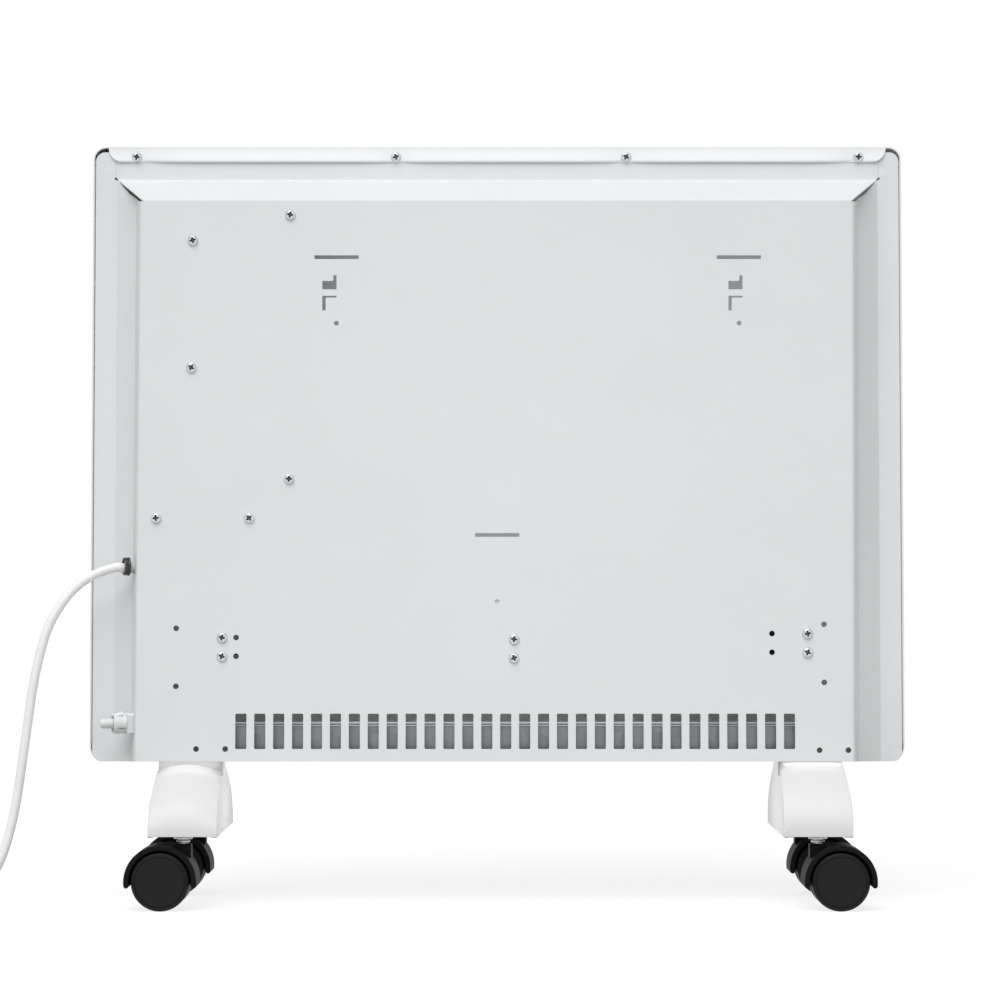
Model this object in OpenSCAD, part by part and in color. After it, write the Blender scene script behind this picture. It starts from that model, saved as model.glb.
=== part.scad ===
// Wall panel convector heater standing on two castor feet.
// X runs to the heater's right as seen from its front, Y to its rear and Z up.
// The origin is on the floor, under the middle of the heater.

/* [Front panel] */
// Width of the front panel
panel_w = 575; // [520:5:700]
// Height of the front panel
panel_h = 435; // [410:5:520]
// Corner radius of the front panel
panel_r = 9; // [5:0.5:12]
// Depth of the front panel's side walls, as a share of the whole depth
tray_share = 0.5375; // [0.5:0.0125:0.6]
// Thickness of every steel sheet
sheet_t = 1; // [0.8:0.1:1.5]
// Height of the strip that folds over the housing at the top
strip_h = 11.2; // [9:0.2:12]
// Distance from the panel's side to the end of the strip
strip_inset = 11; // [8:0.5:16]
// Radius of the strip's lower corners
strip_r = 10.4; // [4:0.2:10.8]

/* [Air outlet] */
// Distance from the panel's side to the air outlet in the front
outlet_inset = 52.5; // [40:2.5:120]
// Height of the air outlet
outlet_h = 24; // [20:1:26]
// Distance from the panel's top to the top of the outlet
outlet_drop = 16; // [14:1:20]
// Number of louvre blades
blade_count = 4; // [3:1:5]
// Lap of the grille's frame behind the panel
grille_lap = 6; // [5:0.5:6]
// Thickness of a louvre blade
blade_t = 1.2; // [0.8:0.1:1.6]
// Depth of a louvre blade
blade_d = 9; // [6:0.5:12]

/* [Rear housing] */
// Depth from the front face to the back plate
body_d = 80; // [74:1:95]
// Distance from the panel's side to the flat back plate
plate_inset = 37.5; // [30:0.5:45]
// Gap between the front panel's walls and the housing's flange
rim_gap = 0.9; // [0.5:0.1:1.5]
// Width of the gentle slope beside the flange
slope_w = 13.5; // [10:0.5:16]
// Depth of the gentle slope, as a share of the housing's depth
slope_share = 0.378; // [0.3:0.01:0.4]
// Width of the steep step beside the back plate
step_w = 7; // [4:0.5:9]
// Height of the slope above the back plate
top_slope_h = 18.5; // [14:0.5:22]
// Height of the flange above the top slope
top_flange_h = 22; // [18:0.5:26]
// Corner radius of the housing's flange
housing_r = 9; // [5:0.5:12]
// Greatest width of the open mitre at the top corners
mitre_gap = 1.8; // [1:0.1:2.5]
// Width of the seams in the top flange
seam_w = 0.4; // [0.3:0.1:0.8]
// Radius of the relief hole at a fold's corner
relief_r = 1; // [0.8:0.1:1.5]

/* [Air intake] */
// Number of intake slots in the back plate
vent_count = 30; // [20:1:32]
// Width of an intake slot
vent_w = 7.75; // [5:0.25:9]
// Height of an intake slot
vent_h = 24.5; // [18:0.5:28]
// Distance from one intake slot to the next
vent_pitch = 13.15; // [12:0.05:13.4]
// Height of the slots above the back plate's lower edge
vent_rise = 7.8; // [6:0.2:10]
// Corner radius of an intake slot
vent_r = 0.8; // [0.5:0.1:1.5]
// Number of intake slots in the bottom
floor_slot_count = 16; // [8:1:20]
// Length of a bottom slot, across the heater
floor_slot_w = 14; // [8:1:16]
// Width of a bottom slot, front to back
floor_slot_d = 9; // [5:0.5:12]
// Corner radius of a bottom slot
floor_slot_r = 4; // [1:0.5:4]
// Distance from one bottom slot to the next
floor_slot_pitch = 22; // [20:0.5:24]
// Height of the galvanised baffle behind the slots
baffle_h = 25; // [20:1:28]
// Distance from the back plate to the baffle
baffle_back = 9; // [7:0.5:12]
// Depth of the baffle's foot
baffle_foot = 14; // [10:1:18]
// Width of the folded hem on the baffle
hem = 2.6; // [2.2:0.1:4]
// Height of the hem's folded leg
hem_leg = 5.2; // [4:0.2:7]
// Length of the baffle beyond the row of slots
baffle_over = 4.4; // [2:0.2:7]

/* [Wall hooks] */
// Width of a hook slot in the back plate
hook_slot_w = 31; // [24:1:36]
// Height of a hook slot
hook_slot_h = 2.6; // [2:0.1:3.5]
// Width of the square window under a hook slot
window_w = 9.9; // [8:0.1:12]
// Height of that window
window_h = 5.9; // [5:0.1:7]
// Distance from the hook slot down to the window's top
window_drop = 16.7; // [15:0.1:20]
// Width of the prong slit above the window
prong_w = 2.2; // [1.5:0.1:3]
// Height of the prong slit
prong_h = 4; // [3:0.1:5]
// Height of the sheet tab left under the window
tab_h = 4.5; // [4:0.1:6]
// Height of the cross slit under the tab
slit_h = 1.3; // [1:0.1:2]
// Width of the slit's leg
leg_w = 2.3; // [1.5:0.1:3]
// Height of the slit's leg
leg_h = 9; // [7:0.5:11]
// Distance from the hook slot down to the locking hole
lock_drop = 46.3; // [42:0.1:50]
// Radius of the locking hole
lock_r = 1.7; // [1.2:0.1:2.2]
// Radius of the spare fixing holes
spare_r = 2; // [1.5:0.1:2.5]

/* [Screws] */
// Radius of a screw's thread
screw_r = 1.9; // [1.5:0.1:2.2]
// Radius of a screw's pan head
head_r = 3.7; // [3:0.1:4.5]
// Height of a screw's pan head
head_h = 2.5; // [2:0.1:3]
// Radial room of a screw in the sheet that it clamps
screw_room = 0.3; // [0.2:0.05:0.5]
// Length of a case screw under its head
case_screw_l = 9; // [8:0.5:10]
// Length of a short sheet screw under its head
sheet_screw_l = 6; // [5:0.5:8]
// Distance between the two screws of a bracket
pair_gap = 13; // [11:0.5:16]

/* [Heating element] */
// Radius of the element's tube
tube_r = 5.5; // [4:0.5:6]
// Reach of a fin from the tube's centre
fin_reach = 30; // [20:1:32]
// Thickness of a fin
fin_t = 1.6; // [1:0.1:2]
// Angle of the fins above and below the level
fin_angle = 38; // [25:1:50]
// Distance of the tube from the back plate, as a share of the whole depth
tube_share = 0.525; // [0.5:0.0125:0.55]
// Free space between the fins and a bracket
fin_end_gap = 9; // [7:1:14]
// Length of tube beyond the outer brackets
tube_over = 12; // [10:1:18]
// Radius of the terminal stud
stud_r = 2; // [1.5:0.1:2.5]
// Length of the terminal stud
stud_l = 9; // [7:1:12]
// Width of a bracket's arm
arm_w = 28; // [24:1:34]
// Thickness of an insulator's wall
insulator_t = 1.5; // [1.2:0.1:2.5]
// Length of an insulator
insulator_l = 8; // [6:1:10]
// Radius of the cut-out's disc
cutout_r = 8; // [6:0.5:10]
// Depth of the cut-out
cutout_d = 10; // [7:0.5:13]
// Width of the cut-out's mounting plate
cutout_plate_w = 24; // [22:1:30]
// Height of that plate
cutout_plate_h = 8; // [7:0.5:12]
// Thickness of a blade terminal
blade_terminal_t = 1; // [0.8:0.1:1.5]

/* [Controls] */
// Depth of the control box
box_d = 52; // [40:1:56]
// Wall of the control box
box_wall = 2; // [1.5:0.1:3]
// Margin of the box around its outer screws
box_margin = 7; // [6:0.5:7.5]
// Radius of a screw boss
boss_r = 4.5; // [4:0.1:5]
// Height of a screw boss
boss_h = 7; // [6.5:0.5:9]
// Thickness of a circuit board
board_t = 1.6; // [1:0.1:2]
// Width of the control bezel
bezel_w = 70; // [64:1:74]
// Height of the control bezel
bezel_h = 60; // [54:1:64]
// Thickness of the bezel in front of the panel
bezel_t = 0.8; // [0.6:0.1:1.5]
// Corner radius of the bezel
bezel_r = 4; // [2:0.5:6]
// Width of the bezel's lap over the panel
bezel_lap = 3; // [2:0.5:4]
// Thickness of the fascia's face
face_t = 2.5; // [2:0.1:3.5]
// Distance from the face to the display board
post_l = 7.3; // [7:0.1:9]
// Radius of a board post
post_r = 2.5; // [2:0.1:3]
// Width of the display window
display_w = 46; // [36:1:52]
// Height of the display window
display_h = 20; // [14:1:24]
// Thickness of the display window
display_t = 1.2; // [0.8:0.1:1.5]
// Number of keys
key_count = 4; // [2:1:5]
// Radius of a key's cap
key_r = 4; // [3:0.1:4.5]
// Distance from one key to the next
key_pitch = 14; // [12:0.5:15]
// How far a key stands out of the bezel
key_proud = 1; // [0.9:0.1:2]
// Width of the lip that holds a key behind the face
key_lip = 1.2; // [1:0.1:1.4]
// Thickness of that lip
key_lip_t = 0.8; // [0.6:0.1:1]
// Space between the lip and the face
key_gap = 0.35; // [0.3:0.05:0.4]
// Radius of a key's stem
key_stem_r = 1.6; // [1.2:0.1:2]
// Length of a key's stem behind its lip
key_stem_l = 1.6; // [1.4:0.1:1.7]
// Side of a switch on the display board
tact_side = 6; // [5:0.5:7]
// Depth of a switch on the display board
tact_d = 2.7; // [2.2:0.1:2.8]
// Space between a pressed key and its switch
tact_gap = 0.3; // [0.3:0.05:0.4]
// Travel of a key
key_travel = 0.6; // [0.3:0.1:0.8]
// Radial room around a key's cap
key_room = 0.3; // [0.25:0.05:0.4]
// Distance from the fascia's edge to a post's middle
post_inset = 3.75; // [3.5:0.25:4]
// Width of a relay on the power board
relay_w = 21; // [15:1:24]
// Height of a relay
relay_h = 30; // [20:1:36]
// Depth of a relay and of the capacitor
relay_d = 15; // [10:1:16]
// Radius of the capacitor
capacitor_r = 10; // [8:0.5:14]
// Width of one way of the terminal block
way_w = 9; // [8:0.5:10]
// Depth of the terminal block
way_d = 13.5; // [12:0.5:15]
// Height of the terminal block
way_h = 18; // [16:0.5:20]
// Radius of a clamp screw's well
well_r = 2.2; // [1.8:0.1:3]
// Depth of that well
well_d = 4.5; // [3:0.5:6]
// Half the side of the tip-over switch
tip_half = 9; // [7:0.5:11]
// Half the length of its mounting plate
tip_foot_half = 13.5; // [12.5:0.5:16]
// Distance of the switch from the foot's middle
tip_shift = 46; // [42:1:60]
// Radius of an inner wire
wire_r = 1.2; // [0.8:0.1:1.5]
// Where the supply wires enter the terminal block, as a share of its height
entry_share = 0.75; // [0.6:0.05:0.85]
// Length of a wire's rounding before and after each bend
wire_turn = 2; // [1:0.25:2.25]
// Length of a wire's straight lead-in
wire_lead = 5; // [4:0.5:6]

/* [Side fittings] */
// Height of the cable gland above the floor
gland_z = 234.5; // [225:0.5:245]
// Place of the gland across the steep step, as a share of its depth
gland_share = 0.5; // [0.4:0.05:0.6]
// Radius of the gland's flange
gland_r = 6.9; // [6:0.1:8]
// Length of the gland outside the wall
gland_l = 8.5; // [6:0.5:10]
// Width of the rim on the gland's flange
gland_rim = 0.5; // [0.3:0.1:1]
// Thickness of the gland's flange
gland_flange_t = 2.8; // [2:0.1:4]
// Width of the gland's shoulder outside the hole
gland_shoulder = 1.4; // [1:0.1:2]
// Reach of the gland and of the sensor holder inside the wall
inner_reach = 7; // [6:0.5:9]
// Height of the temperature sensor above the floor
sensor_z = 126; // [120:1:140]
// Place of the sensor across the steep step, as a share of its depth
sensor_share = 0.45; // [0.4:0.05:0.6]
// Side of the sensor holder's square base
sensor_base = 14; // [12:0.5:16]
// Length of the sensor holder's base
sensor_base_l = 6; // [4:0.5:8]
// Radius of the sensor holder's barrel
barrel_r = 7.7; // [6.5:0.1:8.5]
// Length of the barrel
barrel_l = 10; // [8:0.5:12]
// Wall of the barrel
barrel_t = 1.6; // [1.2:0.1:2.4]
// Radius of the sensor probe
probe_r = 3.5; // [3:0.1:4]
// Width of the step before the probe's tip
tip_step = 0.6; // [0.4:0.1:1]
// Length of the probe's stepped tip
tip_l = 1.8; // [1:0.1:3]
// How far the probe stands out of the barrel
probe_out = 9.5; // [7:0.5:12]

/* [Feet] */
// Length of a foot, front to back
foot_l = 150; // [140:2:190]
// Width of a foot at its base
foot_w = 47; // [42:0.5:54]
// Height of a foot
foot_h = 49; // [46:1:56]
// Distance from the panel's right side to the right foot's middle
foot_right_in = 71.5; // [60:0.5:85]
// Distance from the panel's left side to the left foot's middle
foot_left_in = 67; // [60:0.5:85]
// Wall of a foot
foot_wall = 2.5; // [2:0.1:3.5]
// Drop of the foot's crowned back from its middle to its sides
foot_crown = 5; // [4:0.5:7]
// How far the arch of a foot, seen from its side, would rise over the crown
arch_over = 2.5; // [1:0.5:4]
// Draft of a foot's side over its height
foot_draft = 1.5; // [0.5:0.1:2.5]
// Length of the flat seat on a foot
seat_l = 56; // [50:1:64]
// Narrowing of that seat on each side
seat_inset = 2.4; // [2:0.1:4]
// Thickness of the seat's deck
deck_t = 4; // [3:0.5:6]
// Distance between the two screws of a foot
foot_screw_gap = 36; // [30:1:42]
// Radius of the boss that holds a castor
foot_boss_r = 8; // [7:0.5:9]
// Depth of the walls around the seat below its crown
seat_wall_h = 9.5; // [9:0.5:13]

/* [Castors] */
// Diameter of a castor wheel
wheel_d = 40; // [36:1:42]
// Width of a castor wheel
wheel_w = 14.4; // [12:0.2:16]
// Height from the floor to the underside of a foot
castor_h = 50; // [50:1:56]
// Distance between a foot's two castors
castor_gap = 120; // [112:1:124]
// Distance from the swivel axis to the wheel axle
trail = 14.5; // [10:0.5:16]
// Space between a wheel and its hood
hood_room = 1.4; // [1:0.1:2]
// Thickness of the hood
hood_t = 3.6; // [2.5:0.1:4]
// Thickness of the web between the wheels
web_t = 6; // [5:0.2:8]
// Space between a wheel and the web
web_room = 0.6; // [0.4:0.1:1]
// Radius of the rounded tread edge
tread_r = 2.4; // [1.5:0.1:3]
// Depth and width of the ring groove on a wheel's disc
groove = 0.5; // [0.3:0.1:0.8]
// Radius of that ring groove
ring_r = 17; // [15:0.1:17.5]
// Length of the axle in a wheel
axle_grip = 11.5; // [10:0.5:11.5]
// Free depth of the bore beyond the axle
axle_end_gap = 0.6; // [0.5:0.1:0.6]
// Radius of the web's boss around the axle
hub_r = 5; // [4:0.1:6]
// Radius of the wheel axle
axle_r = 2.5; // [2:0.1:3]
// Side of the hood's square column
column_w = 12; // [11:0.5:14]
// Radius of the swivel stem in the foot
stem_r = 4; // [3.5:0.1:4.5]
// Length of the stem in the foot
stem_l = 19; // [14:1:20]
// Radius of the stem's collar
collar_r = 6.5; // [6:0.1:7]
// Thickness of the collar
collar_t = 1.7; // [1.2:0.1:2.2]
// Height of the neck between the collar and the hood
neck_l = 3; // [2:0.1:4]
// Length of the pin in the hood
pin_grip = 8.4; // [7:0.1:8.6]
// Radius of the stem's lower pin
pin_r = 3.5; // [3:0.1:4]
// Radial running clearance of pins and axles
run_fit = 0.08; // [0.04:0.01:0.1]

/* [Lead] */
// Diameter of the supply lead
cord_d = 6.4; // [6:0.1:7]
// Radius of the coil's outer turn
coil_r = 44; // [42:0.5:48]
// Space between the turns of the coil
coil_room = 0.5; // [0.45:0.05:1]
// Turns of the coil in one layer
coil_turns = 2.375; // [1.375:1:3.375]
// Length of the straight tail at the plug
tail_l = 32; // [28:1:40]
// Thickness of the coil's tie
tie_t = 0.6; // [0.5:0.1:1]
// Width of the coil's tie
tie_w = 10; // [8:1:14]
// Radius of the plug's body
plug_r = 18.5; // [17:0.5:20]
// Length of the plug's body
plug_l = 30; // [26:1:36]
// Length of the plug's bend relief
relief_l = 24; // [20:1:30]
// Wall of the bend relief at its thin end
relief_wall = 1; // [0.8:0.1:1.5]
// Wall of the bend relief at its thick end
relief_root = 3; // [2:0.1:4]
// Length of the cap's full round part
cap_l = 15; // [12:1:18]
// Length of the cap's rounded edge
cap_edge = 3; // [2:0.5:4]
// Step from the cap's edge to its neck
cap_step = 5; // [3:0.5:7]
// Radius of a plug pin
plug_pin_r = 2.4; // [2.3:0.05:2.5]
// Length of a plug pin
plug_pin_l = 19; // [18:0.5:20]
// Distance between the plug pins
plug_pin_gap = 19; // [18:0.5:20]

/* [Hidden] */
CASTORS = ["right_rear", "right_front", "left_rear", "left_front"];
$fn = 48;

// One overrun serves every cut
over = 1;
// Clearance of fixed pieces that pass through one another
seat_fit = 0.05;

// Levels and planes of the casing
base_z = castor_h + foot_h;
top_z = base_z + panel_h;
front_y = -body_d / 2;
plate_y = body_d / 2;
flange_y = front_y + tray_share * body_d;
housing_z = base_z + 2 * sheet_t;
housing_top = top_z - sheet_t - rim_gap / 2;
slope_z = housing_top - top_flange_h;
plate_top = slope_z - top_slope_h;
plate_h = plate_top - housing_z;
flange_x = panel_w / 2 - sheet_t - rim_gap;
plate_x = panel_w / 2 - plate_inset;
step_x = plate_x + step_w;
slope_x = step_x + slope_w;
step_y = flange_y + slope_share * (plate_y - flange_y);
outlet_w = panel_w - 2 * outlet_inset;
foot_right = panel_w / 2 - foot_right_in;
foot_left = panel_w / 2 - foot_left_in;
outlet_z = top_z - outlet_drop - outlet_h / 2;

// Places on the back plate, as shares of its half width and of its height
case_screw_shares = [[0.58, 0.973], [0.853, 0.927], [0.855, 0.699],
    [0.581, 0.5], [0.952, 0.43], [0.692, 0.43]];
bracket_shares = [[0.766, 0.201], [-0.047, 0.198], [-0.864, 0.208]];
spare_hole_shares = [[0.894, 0.234], [0.894, 0.131], [-0.91, 0.241], [-0.91, 0.138],
    [0.837, 0.02], [0.756, 0.02], [-0.896, 0.018], [-0.976, 0.018]];
spare_pair_shares = [[0.727, 0.201], [-0.765, 0.208]];
cutout_share = [0, 0.281];
hook_shares = [[0.45, 0.897], [-0.677, 0.897]];
low_slot_share = [0, 0.4];
// The right hand windows sit a little off their hook slots
window_shift_shares = [0, -0.25];
vent_shift_share = -0.05;
// Places of the strip's screws, as shares of the panel's half width
top_screw_shares = [0.892, 0.251, -0.319, -0.894];
// Place of the control bezel, as shares of the plate's half width and of its height
bezel_share = [0.78, 0.83];

// Relations inside the control unit
fascia_x = bezel_share[0] * plate_x;
fascia_z = housing_z + bezel_share[1] * plate_h;
box_x0 = plate_x * case_screw_shares[0][0] - box_margin;
box_x1 = plate_x * case_screw_shares[4][0] + box_margin;
box_z0 = housing_z + plate_h * case_screw_shares[4][1] - box_margin;
box_z1 = housing_z + plate_h * case_screw_shares[0][1] + box_margin;
box_y1 = plate_y - sheet_t;
box_y0 = box_y1 - box_d;
power_y = box_y1 - box_wall - boss_h;
bezel_y = front_y - bezel_t;
face_y = bezel_y + face_t;
display_y = face_y + post_l;
key_row_share = 0.27;
display_row_share = 0.18;

// The tube's axis and the bracket holes
tube_y = plate_y - tube_share * body_d;
insulator_r = tube_r + seat_fit + insulator_t;
bracket_t = sheet_t;
bracket_foot = 2 * insulator_r;

// The steep wall beside the back plate carries the gland and the sensor
wall_run = [step_w, -(plate_y - step_y)];
wall_angle = atan2(step_w, plate_y - step_y);
gland_y = step_y + gland_share * (plate_y - step_y);
sensor_y = step_y + sensor_share * (plate_y - step_y);
gland_x = step_x - gland_share * step_w;
cord_r = cord_d / 2;
gland_bore_r = cord_r + 2 * seat_fit;
gland_snap_r = gland_r - gland_shoulder;

// Castor relations
wheel_r = wheel_d / 2;
hood_r0 = wheel_r + hood_room;
hood_r1 = hood_r0 + hood_t;
hood_w = web_t + 2 * wheel_w;
column_top = castor_h - collar_t - neck_l;
pin_z = column_top - pin_grip;
hood_low_angle = 12;
wheel_y0 = web_t / 2 + web_room;
axle_half = wheel_y0 + axle_grip;

// Foot relations: the profile is half an ellipse over the foot's length
foot_steps = 28;
crown_steps = 12;

// Route of the free lead from the gland to its coil on the floor: how far out and how far
// back from the gland, and its height as a share of the gland's height
lie_z = cord_r + tie_t;
lead_table = [[29.5, 4.5, 0.976], [41.5, 7.5, 0.937], [51.5, 11.5, 0.881], [59.5, 14.5, 0.811],
    [64.5, 17.5, 0.729], [68.5, 20.5, 0.634], [71.5, 23.5, 0.525], [74.5, 26.5, 0.417],
    [77.5, 29.5, 0.313], [81.5, 33.5, 0.218], [87.5, 37.5, 0.131], [97.5, 41.5, 0.057],
    [111.5, 44.5, 0.014], [127.5, 45.5, 0], [143.5, 45.5, 0], [151.5, 45.5, 0]];
lead_points = [for (p = lead_table)
    [gland_x + p[0], gland_y + p[1], lie_z + p[2] * (gland_z - lie_z)]];
lead_steps = 2;
lead_sides = 8;
wire_sides = 12;
wire_turn_steps = 4;
coil_sides = 6;
coil_rings = 24;
lead_end = lead_points[len(lead_points) - 1];
coil_pitch = cord_d + coil_room;
coil_centre = [lead_end[0], lead_end[1] - coil_r];
coil_low = lead_end[2];
coil_high = coil_low + coil_pitch;
coil_total = 2 * coil_turns + 0.5;
tail_steps = 5;
plug_x = coil_centre[0] + coil_r;
plug_y = coil_centre[1] - tail_l;

// Helpers

module slab_y(y0, y1) {
    translate([0, y1, 0]) rotate([90, 0, 0]) linear_extrude(y1 - y0) children();
}

module slab_x(x0, x1) {
    translate([x0, 0, 0]) rotate([90, 0, 90]) linear_extrude(x1 - x0) children();
}

module block(low, high) {
    translate(low) cube(high - low);
}

module rod_y(x, y0, y1, z, r) {
    translate([x, y1, z]) rotate([90, 0, 0]) cylinder(h = y1 - y0, r = r);
}

module rod_x(x0, x1, y, z, r) {
    translate([x0, y, z]) rotate([0, 90, 0]) cylinder(h = x1 - x0, r = r);
}

module rod_z(x, y, z0, z1, r) {
    translate([x, y, z0]) cylinder(h = z1 - z0, r = r);
}

// Rectangle with round corners, centred
module soft_rect(w, h, r) {
    square([w - 2 * r, h], center = true);
    square([w, h - 2 * r], center = true);
    for (sx = [-1, 1])
        for (sy = [-1, 1])
            translate([sx * (w / 2 - r), sy * (h / 2 - r)]) circle(r);
}

function unit(v) = v / norm(v);
function left_of(v) = [-v[1], v[0]];
function moved_line(p, q, t) = let (n = t * left_of(unit(q - p))) [p + n, q + n];
function cross2(a, b) = a[0] * b[1] - a[1] * b[0];
function meet(a, b) = let (d = a[1] - a[0], e = b[1] - b[0])
    a[0] + d * cross2(b[0] - a[0], e) / cross2(d, e);
// The path moved to its left by t, with mitred corners
function inset_path(pts, t) = let (n = len(pts),
    rows = [for (i = [0 : n - 2]) moved_line(pts[i], pts[i + 1], t)])
    [rows[0][0], for (i = [1 : n - 2]) meet(rows[i - 1], rows[i]), rows[n - 2][1]];

// A place on the back plate from its shares
function on_plate(s) = [s[0] * plate_x, housing_z + s[1] * plate_h];
function smooth(t) = let (u = min(1, max(0, t))) u * u * (3 - 2 * u);

// Casing

function plan_path() = [[flange_x, flange_y], [slope_x, flange_y], [step_x, step_y],
    [plate_x, plate_y], [-plate_x, plate_y], [-step_x, step_y], [-slope_x, flange_y],
    [-flange_x, flange_y]];
function side_path() = [[plate_y, housing_z], [plate_y, plate_top], [flange_y, slope_z],
    [flange_y, housing_top]];

// The raised part of the housing, moved in by t
module raised_form(t, low, front) {
    plan = inset_path(plan_path(), t);
    side = inset_path(side_path(), t);
    intersection() {
        translate([0, 0, low]) linear_extrude(top_z - low)
            polygon([[plan[1][0], front], plan[1], plan[2], plan[3], plan[4], plan[5], plan[6],
                [plan[6][0], front]]);
        slab_x(-panel_w / 2, panel_w / 2)
            polygon([[plate_y - t, low], side[1], side[2], [front, side[2][1]], [front, low]]);
    }
}

module mitre_cut(side) {
    outer = [side * slope_x, slope_z];
    inner = [side * plate_x, plate_top];
    way = unit([side * top_slope_h, -(slope_x - plate_x)]);
    slab_y(flange_y - 2 * sheet_t, plate_y + over)
        polygon([outer, inner, (outer + inner) / 2 + mitre_gap * way]);
    rod_y(side * slope_x, flange_y - 2 * sheet_t, flange_y + over, slope_z, relief_r);
    block([side * slope_x - seam_w / 2, flange_y - 2 * sheet_t, slope_z],
        [side * slope_x + seam_w / 2, flange_y + over, top_z]);
}

module plate_hole(place, r) {
    rod_y(place[0], plate_y - 2 * sheet_t, plate_y + over, place[1], r);
}

module plate_window(x0, x1, z0, z1) {
    block([x0, plate_y - 2 * sheet_t, z0], [x1, plate_y + over, z1]);
}

module hook_slot(place) {
    plate_window(place[0] - hook_slot_w / 2, place[0] + hook_slot_w / 2,
        place[1] - hook_slot_h / 2, place[1] + hook_slot_h / 2);
}

// Window, prong, tab and slit that lock the wall bracket
module hook_lock(place, shift) {
    x0 = place[0] + shift * window_w;
    x1 = x0 + window_w;
    z1 = place[1] - window_drop;
    z0 = z1 - window_h;
    slit_z = z0 - tab_h;
    plate_window(x0, x1, z0, z1);
    plate_window(x0, x0 + prong_w, z1 - over, z1 + prong_h);
    plate_window(x0, x1, slit_z - slit_h, slit_z);
    plate_window(x1 - leg_w, x1, slit_z - slit_h - leg_h, slit_z - slit_h / 2);
    plate_hole([place[0], place[1] - lock_drop], lock_r);
}

module vents() {
    row = (vent_count - 1) * vent_pitch;
    for (i = [0 : vent_count - 1])
        translate([vent_shift_share * plate_x - row / 2 + i * vent_pitch, 0,
            housing_z + vent_rise + vent_h / 2])
            slab_y(plate_y - 2 * sheet_t, plate_y + over) soft_rect(vent_w, vent_h, vent_r);
}

// Places a child with its X axis square to the steep wall, out of the housing
module on_wall(y, z) {
    share = (y - step_y) / (plate_y - step_y);
    translate([step_x - share * step_w, y, z]) rotate([0, 0, wall_angle]) children();
}

function wall_point(y, z, out) = let (share = (y - step_y) / (plate_y - step_y))
    [step_x - share * step_w + out * cos(wall_angle), y + out * sin(wall_angle), z];

module rear_housing() {
    color("whitesmoke") difference() {
        union() {
            slab_y(flange_y - sheet_t, flange_y)
                translate([0, (housing_z + housing_top) / 2])
                    soft_rect(2 * flange_x, housing_top - housing_z, housing_r);
            raised_form(0, housing_z, flange_y - sheet_t);
        }
        raised_form(sheet_t, housing_z - over, flange_y - 2 * sheet_t);
        for (side = [-1, 1]) mitre_cut(side);
        vents();
        for (s = case_screw_shares) plate_hole(on_plate(s), screw_r + screw_room);
        for (s = bracket_shares)
            for (k = [-0.5, 0.5])
                plate_hole(on_plate(s) + [0, k * pair_gap], screw_r + screw_room);
        for (s = spare_hole_shares) plate_hole(on_plate(s), spare_r);
        for (s = spare_pair_shares)
            for (k = [-0.5, 0.5]) plate_hole(on_plate(s) + [0, k * pair_gap], spare_r);
        plate_hole(on_plate(cutout_share), lock_r);
        for (i = [0, 1]) {
            hook_slot(on_plate(hook_shares[i]));
            hook_lock(on_plate(hook_shares[i]), window_shift_shares[i]);
        }
        hook_slot(on_plate(low_slot_share));
        on_wall(gland_y, gland_z)
            rod_x(-3 * sheet_t, 2 * sheet_t, 0, 0, gland_snap_r + seat_fit);
        on_wall(sensor_y, sensor_z)
            rod_x(-3 * sheet_t, 2 * sheet_t, 0, 0, barrel_r - barrel_t + seat_fit);
        for (s = top_screw_shares)
            rod_y(s * panel_w / 2, flange_y - 2 * sheet_t, flange_y + over,
                top_z - strip_h + head_r, screw_r + seat_fit);
    }
}

module floor_slots(z0, z1) {
    row = (floor_slot_count - 1) * floor_slot_pitch;
    for (i = [0 : floor_slot_count - 1])
        translate([i * floor_slot_pitch - row / 2, front_y / 2, z0]) linear_extrude(z1 - z0)
            soft_rect(floor_slot_w, floor_slot_d, floor_slot_r);
}

module foot_screw_places() {
    for (x = [foot_right, -foot_left])
        for (k = [-0.5, 0.5]) translate([x, k * foot_screw_gap, 0]) children();
}

module front_panel() {
    color("white") difference() {
        union() {
            difference() {
                translate([0, 0, base_z + panel_h / 2])
                    slab_y(front_y, flange_y) soft_rect(panel_w, panel_h, panel_r);
                translate([0, 0, base_z + panel_h / 2])
                    slab_y(front_y + sheet_t, flange_y + over)
                        soft_rect(panel_w - 2 * sheet_t, panel_h - 2 * sheet_t,
                            panel_r - sheet_t);
            }
            slab_y(flange_y, flange_y + sheet_t) intersection() {
                translate([0, top_z])
                    soft_rect(panel_w - 2 * strip_inset, 2 * strip_h, strip_r);
                translate([-panel_w / 2, top_z - strip_h]) square([panel_w, strip_h]);
            }
        }
        block([-outlet_w / 2, front_y - over, outlet_z - outlet_h / 2],
            [outlet_w / 2, front_y + 2 * sheet_t, outlet_z + outlet_h / 2]);
        translate([fascia_x, 0, fascia_z]) slab_y(front_y - over, front_y + 2 * sheet_t)
            soft_rect(bezel_w - 2 * bezel_lap, bezel_h - 2 * bezel_lap, bezel_r);
        floor_slots(base_z - over, base_z + 2 * sheet_t);
        foot_screw_places() rod_z(0, 0, base_z - over, base_z + 2 * sheet_t,
            screw_r + screw_room);
        for (s = top_screw_shares)
            rod_y(s * panel_w / 2, flange_y - over, flange_y + sheet_t + over,
                top_z - strip_h + head_r, screw_r + screw_room);
    }
}

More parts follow.
